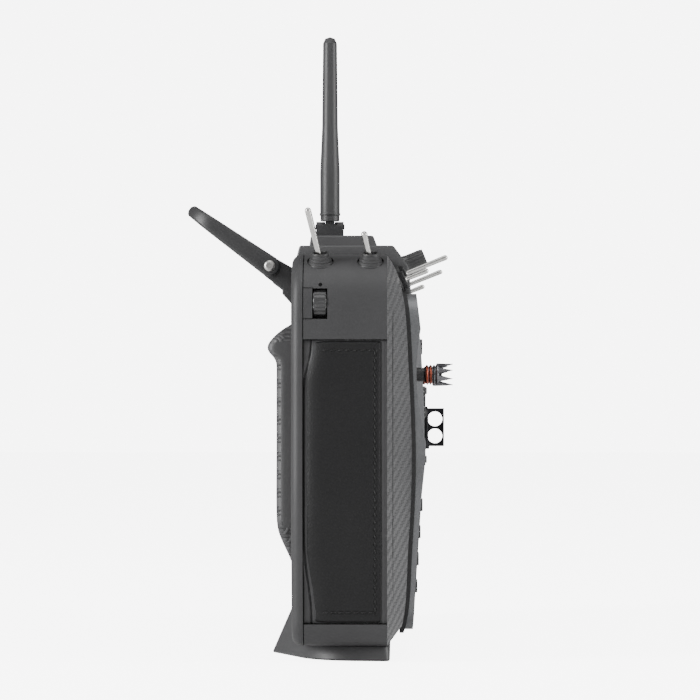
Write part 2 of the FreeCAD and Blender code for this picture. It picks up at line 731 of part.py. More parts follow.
def gimbal_yoke(side):
    """Ring that tips up and down on two trunnions."""
    centre = V(side * GIMBAL_X, GIMBAL_Y, GIMBAL_Z)
    ring = rod(YOKE_R, centre - Y_AXIS * 3.5, Y_AXIS, 7).cut(rod(YOKE_BORE_R, centre - Y_AXIS * 5, Y_AXIS, 10))
    trunnions = [rod(TRUNNION_R, centre + X_AXIS * (s * (YOKE_R - 1)), X_AXIS * s, 7.0) for s in (1, -1)]
    holes = rod(STICK_PIN_R + RUN_FIT, centre - Z_AXIS * 30, Z_AXIS, 60)
    return ring.fuse(trunnions).cut(holes).removeSplitter()


def stick(side):
    """Dome, hub and sleeve that swing from side to side inside the yoke."""
    centre = V(side * GIMBAL_X, GIMBAL_Y, GIMBAL_Z)
    ball = Part.makeSphere(DOME_R, centre).cut(Part.makeSphere(DOME_R - DOME_T, centre))
    dome = ball.common(box(-200, 200, -60, GIMBAL_Y - 5, 0, 200))
    hub = rod(4.0, centre + Y_AXIS * 4, -Y_AXIS, 4 - DOME_T + DOME_R)
    bar = rod(STICK_PIN_R, centre - Z_AXIS * (YOKE_R - 0.6), Z_AXIS, 2 * (YOKE_R - 0.6))
    sleeve = rod(SLEEVE_R, centre, -Y_AXIS, GIMBAL_Y - SLEEVE_TIP)
    stud = rod(STUD_R, centre, -Y_AXIS, GIMBAL_Y - STUD_TIP)
    return dome.fuse([hub, bar, sleeve, stud]).removeSplitter()


def stick_end(side):
    """Collar with two grip rings and an eight-toothed hollow crown."""
    x = side * GIMBAL_X
    at = lambda y: V(x, y, GIMBAL_Z)
    collar = rod(3.7, at(SLEEVE_TIP), -Y_AXIS, SLEEVE_TIP - CROWN_ROOT + 0.1)
    rings = [rod(RING_R, at(y), -Y_AXIS, 1.3) for y in (-40.6, -42.4)]
    flare = taper(4.2, CROWN_R, at(CROWN_ROOT), -Y_AXIS, 1.2)
    crown = flare.fuse(rod(CROWN_R, at(CROWN_ROOT - 1.2), -Y_AXIS, 5.8))
    crown = crown.cut(rod(CROWN_BORE_R, at(CROWN_FLOOR), -Y_AXIS, 10))
    notches = []
    for i in range(CROWN_TEETH):
        notch = plate([(-1.5, CROWN_TIP - 1, 0), (1.5, CROWN_TIP - 1, 0), (0.25, CROWN_FLOOR + 0.2, 0),
                       (-0.25, CROWN_FLOOR + 0.2, 0)], lambda a, b: V(x + a, b, GIMBAL_Z), V(0, 0, 10))
        notch.rotate(at(0), Y_AXIS, (i + 0.5) * 360 / CROWN_TEETH)
        notches.append(notch)
    crown = crown.cut(notches)
    return collar.fuse(rings + [crown]).cut(rod(STUD_R, at(0), -Y_AXIS, -STUD_TIP)).removeSplitter()


# ---------------------------------------------------------------- switches

def nut(size, base, direction):
    base_r, top_r, height = size
    body = taper(base_r, top_r, base + direction * 1.6, direction, height - 1.6)
    body = body.fuse(rod(base_r, base, direction, 1.6))
    return body.cut(rod(LEVER_BORE_R, base - direction, direction, height + 2))


def lever(base, seat_direction, direction, length, thin, thick):
    pivot = base + seat_direction * LEVER_BALL_RISE
    ball = Part.makeSphere(LEVER_BALL_R, pivot)
    pin = rod(LEVER_PIN_R, pivot - X_AXIS * LEVER_PIN_REACH, X_AXIS, 2 * LEVER_PIN_REACH)
    shaft = taper(thin, thick, pivot, direction, length)
    tip = Part.makeSphere(thick, pivot + direction * length)
    return ball.fuse([pin, shaft, tip]).removeSplitter()


def shoulder_switches():
    """Name, base point, seat direction, lever direction and length of each shoulder toggle."""
    levers = (("rear", SHOULDER_REAR_Y, 13.5, 22.6), ("top", SHOULDER_FRONT_Y, 13.0, 12.0))
    for word, side in SIDES.items():
        seat = lean(SHOULDER_LEAN_DEG, side)
        for place, y, back_deg, length in levers:
            pointing = FreeCAD.Rotation(X_AXIS, -back_deg).multVec(seat)
            yield f"toggle_{place}_{word}", V(side * SHOULDER_X, y, SHOULDER_BASE_Z), seat, pointing, length


def switch_nuts():
    nuts = [nut(SHOULDER_NUT, base, seat) for _, base, seat, _, _ in shoulder_switches()]
    nuts += [nut(FACE_NUT, base, rise(FACE_RISE_DEG)) for _, base, _ in face_switch_bases()]
    return Part.makeCompound(nuts)


def toggles():
    for name, base, seat, pointing, length in shoulder_switches():
        yield name, lever(base, seat, pointing, length, 1.1, 1.35)
    for name, base, length in face_switch_bases():
        yield name, lever(base, rise(FACE_RISE_DEG), rise(FACE_RISE_DEG), length - LEVER_BALL_RISE, 0.95, 1.15)


def knob_back(side):
    return V(side * KNOB_X, KNOB_TIP.y, KNOB_TIP.z) - rise(KNOB_RISE_DEG) * (KNOB_LENGTH + GAP)


def knob(side):
    start = V(side * KNOB_X, KNOB_TIP.y, KNOB_TIP.z) - rise(KNOB_RISE_DEG) * KNOB_LENGTH
    return taper(KNOB_R, KNOB_R - 0.35, start, rise(KNOB_RISE_DEG), KNOB_LENGTH)


def side_lever(side):
    """Drum on a fore-and-aft axle, with a raised thumb rib."""
    low, high = SIDE_LEVER_Y
    drum = rod(SIDE_LEVER_R - 0.6, V(SIDE_LEVER_X, low, SIDE_LEVER_Z), Y_AXIS, high - low)
    rib = box(SIDE_LEVER_X, SIDE_LEVER_X + SIDE_LEVER_R, low, high, SIDE_LEVER_Z - 1.1, SIDE_LEVER_Z + 1.1)
    axle = rod(1.2, V(SIDE_LEVER_X, low - 1.2, SIDE_LEVER_Z), Y_AXIS, high - low + 2.4)
    solid = drum.fuse([rib, axle]).removeSplitter()
    return solid if side > 0 else mirrored(solid)


# ---------------------------------------------------------------- assembly

def pieces():
    yield "front_shell", front_shell()
    yield "rear_shell", rear_shell()
    yield "face_panel", face_panel()
    yield "front_gasket", front_gasket()
    yield "top_housing", top_housing()
    yield "side_panels", side_panels()
    yield "stand_foot", stand_foot()
    yield "neck_strap_hook", neck_strap_hook()
    yield "handle_lugs", handle_lugs()
    yield "switch_nuts", switch_nuts()
    yield "case_screws", case_screws()
    yield "gimbal_frames", gimbal_frames()
    yield "lcd_module", lcd_module()
    yield "screen_lens", screen_lens()
    yield "main_board", main_board()
    yield "battery_cells", battery_cells()
    yield "antenna_swivel", antenna_swivel()
    yield "antenna_rod", antenna_rod()
    yield "handle", handle()
    yield "handle_screws", handle_screws()
    yield "scroll_wheel", scroll_wheel()
    for word, side in SIDES.items():
        yield f"side_grip_{word}", side_grip(side)
        yield f"rear_grip_{word}", rear_grip(side)
        yield f"gimbal_yoke_{word}", gimbal_yoke(side)
        yield f"stick_{word}", stick(side)
        yield f"stick_end_{word}", stick_end(side)
        yield f"knob_{word}", knob(side)
        yield f"side_lever_{word}", side_lever(side)
    for name, x, z, half_x, half_z, proud in keys():
        yield name, push_key(x, z, half_x, half_z, proud)
    for name, x, z, half_x, half_z in trims():
        yield name, trim_rocker(x, z, half_x, half_z)
    yield from toggles()


def main():
    os.makedirs("parts", exist_ok=True)
    for name, shape in pieces():
        shape.exportStep(f"parts/{name}.step")
        print(name, len(shape.Solids), shape.isValid(), round(shape.Volume, 1))


main()
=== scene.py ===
"""Looks of a hand-held radio transmitter, written as an add-on and run as a script.

Shapes are worked out in millimetres and scaled once, when a piece is finished. +Z is up, the
front face looks towards -Y, and "left" is -X.
"""
import math

import bmesh
import bpy
from bpy.props import FloatProperty, FloatVectorProperty, IntProperty, PointerProperty
from mathutils import Matrix, Vector, noise


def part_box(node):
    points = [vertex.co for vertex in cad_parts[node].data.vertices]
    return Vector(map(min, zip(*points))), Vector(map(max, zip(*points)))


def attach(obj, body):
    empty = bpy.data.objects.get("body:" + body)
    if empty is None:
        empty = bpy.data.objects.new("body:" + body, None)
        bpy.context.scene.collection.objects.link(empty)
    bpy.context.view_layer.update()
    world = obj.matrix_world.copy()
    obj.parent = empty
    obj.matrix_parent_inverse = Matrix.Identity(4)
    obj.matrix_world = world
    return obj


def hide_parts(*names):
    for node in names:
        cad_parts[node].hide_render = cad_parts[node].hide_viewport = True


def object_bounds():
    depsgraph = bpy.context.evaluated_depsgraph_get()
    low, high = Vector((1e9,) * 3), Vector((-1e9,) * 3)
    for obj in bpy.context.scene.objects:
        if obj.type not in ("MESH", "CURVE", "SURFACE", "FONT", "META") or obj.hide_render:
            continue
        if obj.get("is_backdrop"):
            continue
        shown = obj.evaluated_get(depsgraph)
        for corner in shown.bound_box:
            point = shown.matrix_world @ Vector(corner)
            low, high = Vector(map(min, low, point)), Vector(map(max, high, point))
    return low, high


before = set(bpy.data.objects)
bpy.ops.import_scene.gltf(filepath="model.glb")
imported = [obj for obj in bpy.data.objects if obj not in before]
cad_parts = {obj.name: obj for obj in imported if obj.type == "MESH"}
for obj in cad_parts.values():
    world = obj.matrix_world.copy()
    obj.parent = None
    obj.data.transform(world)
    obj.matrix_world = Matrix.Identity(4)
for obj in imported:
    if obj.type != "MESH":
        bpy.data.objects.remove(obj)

bl_info = {
    "name": "Radio transmitter looks",
    "version": (1, 0, 0),
    "blender": (4, 5, 0),
    "location": "3D View > Sidebar > Transmitter",
    "description": "Builds the visible pieces and finishes of a hand-held radio transmitter",
    "category": "Object",
}

MM = 0.001
SIDES = {"left": -1, "right": 1}
X_AXIS = Vector((1, 0, 0))
Y_AXIS = Vector((0, 1, 0))
Z_AXIS = Vector((0, 0, 1))
CASE = "case"

# Case outline, in millimetres: straight sides, an arc at the waist, then a straight taper.
HALF_WIDTH = 142.5
WAIST = 66.0
WAIST_HIGH = 77.5
WAIST_LOW = 54.7
WAIST_R = 120.0
WAIST_SLOPE = 0.193
BACK_Y = 15.2


# ---------------------------------------------------------------- values

def linear(code):
    """Linear red, green and blue of an sRGB hex colour."""
    parts = [int(code[i:i + 2], 16) / 255 for i in (1, 3, 5)]
    return tuple(c / 12.92 if c <= 0.04045 else ((c + 0.055) / 1.055) ** 2.4 for c in parts)


def colour(name, text, code):
    return FloatVectorProperty(name=name, description=text, subtype="COLOR", size=3, min=0, max=1,
                               default=linear(code))


def size(name, text, millimetres):
    return FloatProperty(name=name, description=text, default=millimetres * MM, min=0, unit="LENGTH",
                         precision=5)


def cad_box(node):
    """Lowest and highest corner of a CAD node, in millimetres."""
    low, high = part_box(node)
    return Vector(low) / MM, Vector(high) / MM


def centre(node):
    low, high = cad_box(node)
    return (low + high) / 2


def side_x(z):
    """Half width of the case at one height: straight, then drawn in below the waist."""
    if z >= WAIST_HIGH:
        return HALF_WIDTH
    if z >= WAIST_LOW:
        return HALF_WIDTH - WAIST_R + math.sqrt(WAIST_R ** 2 - (WAIST_HIGH - z) ** 2)
    return HALF_WIDTH - WAIST_SLOPE * (WAIST - z)


def ease(t):
    """Smooth step from 0 to 1."""
    t = min(max(t, 0.0), 1.0)
    return t * t * (3 - 2 * t)


def ridge(distance, width):
    """Round bump, 1 at distance 0 and 0 beyond half the width."""
    t = abs(distance) / (width / 2)
    return math.cos(t * math.pi / 2) ** 2 if t < 1 else 0.0


# ---------------------------------------------------------------- mesh helpers

def finish_piece(bm, name, materials, body=CASE, replaces=(), slot=None, angle=35):
    """Turn a bmesh in millimetres into a named piece that rides on a body."""
    bmesh.ops.scale(bm, vec=(MM, MM, MM), verts=bm.verts)
    mesh = bpy.data.meshes.new(name)
    bm.to_mesh(mesh)
    bm.free()
    if not isinstance(materials, (list, tuple)):
        materials = [materials]
    for material in materials:
        mesh.materials.append(bpy.data.materials[material])
    mesh.shade_smooth()
    mesh.set_sharp_from_angle(angle=math.radians(angle))
    piece = bpy.data.objects.new(name, mesh)
    bpy.context.scene.collection.objects.link(piece)
    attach(piece, body)
    if replaces:
        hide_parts(*replaces)
    return piece


def outward(bm):
    bmesh.ops.remove_doubles(bm, verts=bm.verts, dist=1e-4)
    bmesh.ops.recalc_face_normals(bm, faces=bm.faces)


def bevel(bm, edges, width, segments=3):
    bmesh.ops.bevel(bm, geom=list(edges), offset=width, segments=segments, profile=0.5, affect="EDGES",
                    material=-1, clamp_overlap=True)


def sharp_edges(bm, degrees=30):
    limit = math.radians(degrees)
    return [e for e in bm.edges if len(e.link_faces) == 2 and e.calc_face_angle(0) > limit]


def edges_among(bm, verts):
    """Edges with both ends among the vertices, in the mesh's own order."""
    chosen = set(verts)
    return [e for e in bm.edges if e.verts[0] in chosen and e.verts[1] in chosen]


def push_out(bm, faces, along):
    """Extrude faces along a vector. Returns the moved vertices."""
    grown = bmesh.ops.extrude_face_region(bm, geom=faces)["geom"]
    moved = [g for g in grown if isinstance(g, bmesh.types.BMVert)]
    bmesh.ops.translate(bm, vec=along, verts=moved)
    return moved


def rounded_outline(corners, steps=6):
    """Points of a closed outline of (a, b, radius) corners, with an arc at each."""
    points = []
    for i, (a, b, radius) in enumerate(corners):
        corner = Vector((a, b))
        back = (Vector(corners[i - 1][:2]) - corner).normalized()
        ahead = (Vector(corners[(i + 1) % len(corners)][:2]) - corner).normalized()
        if radius == 0:
            points.append(corner)
            continue
        half = back.angle(ahead) / 2
        middle = corner + (back + ahead).normalized() * radius / math.sin(half)
        start = corner + back * radius / math.tan(half) - middle
        end = corner + ahead * radius / math.tan(half) - middle
        turn = start.angle_signed(end)
        for step in range(steps + 1):
            points.append(middle + Matrix.Rotation(-turn * step / steps, 2) @ start)
    return points


def rounded_box(x, z, half_x, half_z, radius, steps):
    """Outline of a rounded rectangle in the front view."""
    return rounded_outline([(x - half_x, z - half_z, radius), (x + half_x, z - half_z, radius),
                            (x + half_x, z + half_z, radius), (x - half_x, z + half_z, radius)], steps)


def add_spin(bm, profile, origin, axis, steps=32):
    """Closed turned shape: (radius, height) points spun round an axis through the origin."""
    axis = Vector(axis).normalized()
    across = axis.orthogonal().normalized()
    verts = [bm.verts.new(origin + across * r + axis * h) for r, h in profile]
    edges = [bm.edges.new(pair) for pair in zip(verts, verts[1:])]
    bmesh.ops.spin(bm, geom=verts + edges, cent=origin, axis=axis, angle=2 * math.pi, steps=steps,
                   use_merge=True)


def turned(name, profiles, origin, axis, steps, *finish, **rest):
    """Piece made of closed turned shapes round one axis."""
    bm = bmesh.new()
    for profile in profiles:
        add_spin(bm, profile, origin, axis, steps)
    outward(bm)
    finish_piece(bm, name, *finish, **rest)


def mapped_grid(bm, columns, rows, place):
    """Grid of columns by rows whose vertices go to place(u, v), with u and v from 0 to 1."""
    verts = bmesh.ops.create_grid(bm, x_segments=columns, y_segments=rows, size=0.5)["verts"]
    for vert in verts:
        vert.co = place(vert.co.x + 0.5, vert.co.y + 0.5)


def side_sheet(bm, columns, rows, place, side, thickness):
    """Thick sheet over a mapped grid, with its outer face away from the middle of the case."""
    mapped_grid(bm, columns, rows, place)
    bmesh.ops.recalc_face_normals(bm, faces=bm.faces)
    if sum(face.normal.x for face in bm.faces) * side < 0:
        bmesh.ops.reverse_faces(bm, faces=bm.faces)
    bmesh.ops.solidify(bm, geom=bm.faces[:], thickness=thickness)
    outward(bm)


def copy_cad(node):
    """Merged copy of a CAD node's mesh, in millimetres, with its flat faces in one piece each."""
    bm = bmesh.new()
    bm.from_mesh(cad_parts[node].data)
    bmesh.ops.scale(bm, vec=(1 / MM, 1 / MM, 1 / MM), verts=bm.verts)
    bmesh.ops.remove_doubles(bm, verts=bm.verts, dist=0.002)
    bmesh.ops.dissolve_limit(bm, angle_limit=math.radians(0.6), verts=bm.verts, edges=bm.edges,
                             use_dissolve_boundaries=False)
    return bm


# ---------------------------------------------------------------- material helpers

def add_node(tree, kind, links=(), **settings):
    """Add a node. Links are a list or a dictionary of nodes, sockets or plain values for its inputs."""
    node = tree.nodes.new(kind)
    for name, value in settings.items():
        setattr(node, name, value)
    pairs = links.items() if isinstance(links, dict) else enumerate(links)
    for key, value in pairs:
        if isinstance(value, bpy.types.Node):
            value = value.outputs[0]
        if isinstance(value, bpy.types.NodeSocket):
            tree.links.new(value, node.inputs[key])
        elif value is not None:
            node.inputs[key].default_value = value
    return node


def calc(tree, operation, *values):
    return add_node(tree, "ShaderNodeMath", values, operation=operation)


def noise_node(tree, place, pitch, detail):
    """Noise whose features lie about pitch millimetres apart."""
    return add_node(tree, "ShaderNodeTexNoise", {"Vector": place, "Scale": 1 / pitch, "Detail": detail})


def start_material(name, **uniform):
    """New material, its node tree, its shader and coordinates in millimetres on the object."""
    material = bpy.data.materials.new(name)
    material.use_nodes = True
    tree = material.node_tree
    shader = tree.nodes["Principled BSDF"]
    for key, value in uniform.items():
        shader.inputs[key.replace("_", " ")].default_value = value
    where = add_node(tree, "ShaderNodeTexCoord").outputs["Object"]
    place = add_node(tree, "ShaderNodeVectorMath", {0: where, "Scale": 1 / MM}, operation="SCALE")
    return tree, shader, place


def finish_material(tree, shader, colour_source, roughness, height=None, depth=0.1):
    """Link the colour, the roughness and a bump whose depth is in millimetres."""
    tree.links.new(colour_source.outputs[0], shader.inputs["Base Color"])
    tree.links.new(roughness.outputs[0], shader.inputs["Roughness"])
    if height:
        bump = add_node(tree, "ShaderNodeBump", {"Height": height, "Distance": depth * MM, "Strength": 1.0})
        tree.links.new(bump.outputs[0], shader.inputs["Normal"])


def blend_colours(tree, factor, low, high):
    """Mix between two linear colours."""
    ramp = add_node(tree, "ShaderNodeValToRGB", [factor])
    ramp.color_ramp.elements[0].color = (*low, 1)
    ramp.color_ramp.elements[1].color = (*high, 1)
    ramp.color_ramp.elements[0].position = 0.3
    ramp.color_ramp.elements[1].position = 0.7
    return ramp


def spread(tree, factor, low, high):
    return add_node(tree, "ShaderNodeMapRange", {"Value": factor, "To Min": low, "To Max": high})


def shade(colour_value, factor):
    return tuple(c * factor for c in colour_value)


def moulded(name, tint, grain_mm, depth, rough, **uniform):
    """Moulded skin: fine tool grain, faint flow clouds in tone and gloss, and small handling scuffs."""
    tree, shader, place = start_material(name, **uniform)
    grain = noise_node(tree, place, grain_mm, 3.0)
    clouds = noise_node(tree, place, 28, 4.0)
    scuff = add_node(tree, "ShaderNodeTexNoise", {"Vector": place, "Scale": 1 / 5.0, "Detail": 6.0,
                                                  "Roughness": 0.7})
    tone = calc(tree, "MULTIPLY", clouds, 0.6)
    tone = calc(tree, "MULTIPLY_ADD", grain, 0.4, tone)
    base = blend_colours(tree, tone, shade(tint, 0.88), shade(tint, 1.12))
    gloss = spread(tree, scuff, rough - 0.09, rough + 0.09)
    finish_material(tree, shader, base, gloss, grain, depth)


def woven_lines(tree, across, along, thread_mm):
    """Two-by-two twill. Gives the thread height and a mask that is 1 where the upright threads are on top."""
    u = calc(tree, "DIVIDE", across, thread_mm)
    v = calc(tree, "DIVIDE", along, thread_mm)
    column = calc(tree, "FLOOR", u)
    row = calc(tree, "FLOOR", v)
    phase = calc(tree, "ADD", row, column)
    upright = calc(tree, "FLOORED_MODULO", phase, 4.0)
    upright = calc(tree, "LESS_THAN", upright, 1.5)
    round_u = calc(tree, "PINGPONG", u, 0.5)
    round_v = calc(tree, "PINGPONG", v, 0.5)
    thread = add_node(tree, "ShaderNodeMix", {"Factor": upright, 2: round_v, 3: round_u})
    thread = calc(tree, "MULTIPLY", thread, 2.0)
    return calc(tree, "POWER", thread, 0.5), upright


# ---------------------------------------------------------------- materials

def make_plastics(tint):
    # ABS, injection moulded in an etched tool: an even matt grey with a fine grain.
    moulded("abs_moulded_grained", tint.shell, 0.7, 0.035, 0.5, Specular_IOR_Level=0.36)
    # The same ABS in a finer tool, for the top housing, lugs and foot: darker and a little smoother.
    moulded("abs_moulded_fine", tint.housing, 0.5, 0.02, 0.44, Specular_IOR_Level=0.42)
    # Glass-filled nylon, satin: handle and switch parts.
    moulded("nylon_moulded_satin", tint.handle, 0.6, 0.03, 0.42, Specular_IOR_Level=0.45)
    # Polycarbonate keys from a polished tool: near black, with a soft sheen.
    moulded("polycarbonate_keys_satin", tint.controls, 0.4, 0.012, 0.33, Coat_Weight=0.15,
            Coat_Roughness=0.3)
    # Two-shot polycarbonate legends: plain off-white lines, set in the dark keys.
    moulded("polycarbonate_legend_white", linear("#d9d9d6"), 0.4, 0.01, 0.4)
    # Santoprene seal between face and shell: dead black. The same black also fills the speaker slots, bay
    # vents and sound slots as painted shade in their openings.
    moulded("elastomer_seal_matt", shade(tint.controls, 0.6), 0.5, 0.03, 0.7)
    # Silicone rubber over the antenna: smooth, dark grey, softly shining.
    moulded("silicone_antenna_sleeve", tint.antenna, 0.9, 0.02, 0.43, Specular_IOR_Level=0.4)
    # The rear grips' rubber where it is left plain: smooth and dark.
    moulded("rubber_moulded_plain", tint.rubber, 0.8, 0.03, 0.5)
    # Nitrile switch boots: black and dusty.
    moulded("nitrile_switch_boot", tint.nuts, 0.45, 0.03, 0.5)


def make_face_paint(tint):
    # Polycarbonate face, sprayed with a satin metallic lacquer: small bright flakes under a soft coat.
    tree, shader, place = start_material("lacquer_metallic_satin", Metallic=0.35, Coat_Weight=0.2,
                                         Coat_Roughness=0.35)
    flake = add_node(tree, "ShaderNodeTexVoronoi", {"Vector": place, "Scale": 1 / 0.35})
    clouds = noise_node(tree, place, 30, 3.0)
    sparkle = calc(tree, "MULTIPLY", flake.outputs["Color"], 0.35)
    tone = calc(tree, "MULTIPLY_ADD", clouds, 0.65, sparkle)
    base = blend_colours(tree, tone, shade(tint.face, 0.85), shade(tint.face, 1.15))
    gloss = spread(tree, clouds, 0.36, 0.46)
    finish_material(tree, shader, base, gloss, flake.outputs["Distance"], 0.01)


def make_carbon_film(tint):
    # Carbon-look film, embossed and formed over ABS: twill threads 1.25 mm wide, so that its diagonals
    # lie 5 mm apart. The twill is the film's own pattern; the upright threads are painted lighter as a painted
    # sheen, and each thread's crest is painted lighter as a painted highlight.
    tree, shader, place = start_material("film_embossed_twill", Coat_Weight=0.12, Coat_Roughness=0.32)
    axes = add_node(tree, "ShaderNodeSeparateXYZ", [place])
    facing = add_node(tree, "ShaderNodeNewGeometry").outputs["Normal"]
    facing = add_node(tree, "ShaderNodeSeparateXYZ", [facing])
    sideways = calc(tree, "ABSOLUTE", facing.outputs[2])
    sideways = calc(tree, "LESS_THAN", sideways, 0.6)
    mirrored = calc(tree, "ABSOLUTE", axes.outputs[0])
    # On the chamfer X and Y change together, and their sum follows the surface.
    down_slope = calc(tree, "MULTIPLY", axes.outputs[1], 1.09)
    across = calc(tree, "MULTIPLY_ADD", mirrored, 0.4, down_slope)
    across = add_node(tree, "ShaderNodeMix", {"Factor": sideways, 2: mirrored, 3: across})
    along = add_node(tree, "ShaderNodeMix", {"Factor": sideways, 2: down_slope, 3: axes.outputs[2]})
    height, upright = woven_lines(tree, across, along, 1.25)
    clouds = noise_node(tree, place, 9, 3.0)
    # Painted sheen: the upright threads are made lighter than the crosswise ones, standing in for light caught
    # along their direction.
    painted_thread_sheen = spread(tree, upright, 0.2, 0.62)
    tone = calc(tree, "MULTIPLY_ADD", clouds, 0.25, painted_thread_sheen)
    # Painted highlight: each thread is made lighter along its crest.
    tone = calc(tree, "MULTIPLY_ADD", height, 0.22, tone)
    base = blend_colours(tree, tone, shade(tint.film, 0.6), shade(tint.film, 1.75))
    gloss = spread(tree, upright, 0.5, 0.36)
    finish_material(tree, shader, base, gloss, height, 0.12)


def make_leather(tint):
    # Split leather, pebble-embossed: cells about 1.3 mm, with painted shade darkening the creases, and hair
    # cells between them.
    tree, shader, place = start_material("leather_pebbled", Specular_IOR_Level=0.27)
    cells = add_node(tree, "ShaderNodeTexVoronoi", {"Vector": place, "Scale": 1 / 1.3},
                     feature="DISTANCE_TO_EDGE")
    pebble = add_node(tree, "ShaderNodeMapRange", {"Value": cells, "From Max": 0.28})
    pores = noise_node(tree, place, 0.4, 2.0)
    clouds = noise_node(tree, place, 22, 5.0)
    # Painted shade: the colour gets darker towards each cell's edge, in the creases.
    tone = calc(tree, "MULTIPLY", pebble, 0.4)
    tone = calc(tree, "MULTIPLY_ADD", clouds, 0.55, tone)
    base = blend_colours(tree, tone, shade(tint.leather, 0.85), shade(tint.leather, 1.12))
    height = calc(tree, "MULTIPLY_ADD", pores, 0.3, pebble)
    gloss = spread(tree, pebble, 0.56, 0.46)
    finish_material(tree, shader, base, gloss, height, 0.035)


def make_thread(tint):
    # Bonded polyester thread, twisted: a fine slant along each stitch.
    tree, shader, place = start_material("polyester_thread_twisted", Specular_IOR_Level=0.35)
    twist = add_node(tree, "ShaderNodeTexWave", {"Vector": place, "Scale": 0.55, "Distortion": 0.6},
                     bands_direction="DIAGONAL")
    base = blend_colours(tree, twist, shade(tint.thread, 0.7), shade(tint.thread, 1.2))
    gloss = spread(tree, twist, 0.65, 0.5)
    finish_material(tree, shader, base, gloss, twist, 0.05)


def make_grip_rubber(tint):
    # Thermoplastic rubber, moulded with a rope weave 1.9 mm wide on the gripping side. Its upright threads are
    # painted lighter as a painted sheen, and each thread's crest is painted lighter as a painted highlight.
    tree, shader, place = start_material("rubber_moulded_weave", Specular_IOR_Level=0.45)
    axes = add_node(tree, "ShaderNodeSeparateXYZ", [place])
    across = calc(tree, "SUBTRACT", axes.outputs[1], axes.outputs[0])
    height, upright = woven_lines(tree, across, axes.outputs[2], 1.9)
    grain = noise_node(tree, place, 0.5, 2.0)
    # Painted sheen: the upright threads are made lighter than the crosswise ones.
    painted_thread_sheen = spread(tree, upright, 0.15, 0.5)
    # Painted highlight: each thread is made lighter along its crest.
    tone = calc(tree, "MULTIPLY_ADD", height, 0.4, painted_thread_sheen)
    base = blend_colours(tree, tone, shade(tint.rubber, 0.6), shade(tint.rubber, 1.5))
    relief = calc(tree, "MULTIPLY_ADD", grain, 0.12, height)
    gloss = spread(tree, grain, 0.42, 0.56)
    finish_material(tree, shader, base, gloss, relief, 0.35)


def brushed(name, tint, rough, streak_mm, depth, stretch=(1, 1, 1), **uniform):
    """Metal worked in one direction: long fine streaks in gloss and height, with cloudy tone."""
    tree, shader, place = start_material(name, Metallic=1.0, **uniform)
    drawn = add_node(tree, "ShaderNodeVectorMath", [place, stretch], operation="MULTIPLY")
    streaks = noise_node(tree, drawn, streak_mm, 4.0)
    clouds = noise_node(tree, place, 4, 3.0)
    tone = calc(tree, "MULTIPLY", streaks, 0.5)
    tone = calc(tree, "MULTIPLY_ADD", clouds, 0.5, tone)
    base = blend_colours(tree, tone, shade(tint, 0.85), shade(tint, 1.1))
    gloss = spread(tree, streaks, rough - 0.07, rough + 0.08)
    finish_material(tree, shader, base, gloss, streaks, depth)


def make_metals(tint):
    # Brass levers, turned and nickel plated: pale, with faint turning rings.
    brushed("brass_nickel_plated", tint.lever, 0.24, 0.5, 0.004, (1, 1, 0.4))
    # Button-head screws in stainless steel, bead blasted.
    brushed("steel_stainless_blasted", shade(tint.lever, 0.8), 0.34, 0.3, 0.01)
    # Case screws and strap plate, steel with a black oxide skin.
    brushed("steel_black_oxide", tint.oxide, 0.42, 0.4, 0.008)
    # Aluminium, turned and anodised black: stick crown and collar.
    brushed("aluminium_anodised_black", tint.crown, 0.3, 0.35, 0.006, (1, 3, 1))
    # Aluminium rings, anodised copper red.
    brushed("aluminium_anodised_copper", tint.copper, 0.28, 0.4, 0.004)
    # Gimbal ring, machined and clear anodised.
    brushed("aluminium_anodised_clear", tint.gimbal, 0.36, 0.3, 0.006, (1, 4, 1))


def make_screen(tint):
    # Display cover, float glass, hard coated: nearly clear with a neutral tint and very smooth.
    tree, shader, place = start_material("glass_hard_coated", Transmission_Weight=0.35, IOR=1.5,
                                         Coat_Weight=0.5, Coat_Roughness=0.04)
    wipe = noise_node(tree, place, 12, 5.0)
    base = blend_colours(tree, wipe, shade(tint.glass, 0.8), shade(tint.glass, 1.2))
    finish_material(tree, shader, base, spread(tree, wipe, 0.05, 0.12))
    # Liquid crystal stack, laminated: a dark blue-grey with its rows just showing.
    tree, shader, place = start_material("display_stack_laminated")
    rows = add_node(tree, "ShaderNodeTexWave", {"Vector": place, "Scale": 0.31}, bands_direction="Z")
    base = blend_colours(tree, rows, shade(tint.glass, 0.9), shade(tint.glass, 2.2))
    finish_material(tree, shader, base, spread(tree, rows, 0.25, 0.35))


def make_inner(tint):
    # Board of glass-epoxy with solder mask: green-black with the weave of its cloth.
    tree, shader, place = start_material("glass_epoxy_soldermasked", Coat_Weight=0.3)
    axes = add_node(tree, "ShaderNodeSeparateXYZ", [place])
    height, upright = woven_lines(tree, axes.outputs[0], axes.outputs[2], 0.6)
    base = blend_colours(tree, height, shade(tint.board, 0.7), shade(tint.board, 1.3))
    finish_material(tree, shader, base, spread(tree, upright, 0.3, 0.42), height, 0.02)
    # Cell sleeve, shrunk PVC: satin, with stretch marks along the cell.
    tree, shader, place = start_material("pvc_shrink_sleeve")
    drawn = add_node(tree, "ShaderNodeVectorMath", [place, (0.05, 1, 1)], operation="MULTIPLY")
    marks = add_node(tree, "ShaderNodeTexNoise", {"Vector": drawn, "Scale": 1.2, "Detail": 3.0})
    base = blend_colours(tree, marks, shade(tint.sleeve, 0.8), shade(tint.sleeve, 1.15))
    finish_material(tree, shader, base, spread(tree, marks, 0.25, 0.4), marks, 0.05)


def make_floor_paint():
    # Studio sweep, emulsion paint rolled on board: white, with a faint stipple.
    tree, shader, place = start_material("emulsion_rolled_white")
    stipple = noise_node(tree, place, 3, 3.0)
    base = blend_colours(tree, stipple, linear("#f4f4f4"), linear("#fafafa"))
    finish_material(tree, shader, base, spread(tree, stipple, 0.7, 0.85))
    return tree, shader


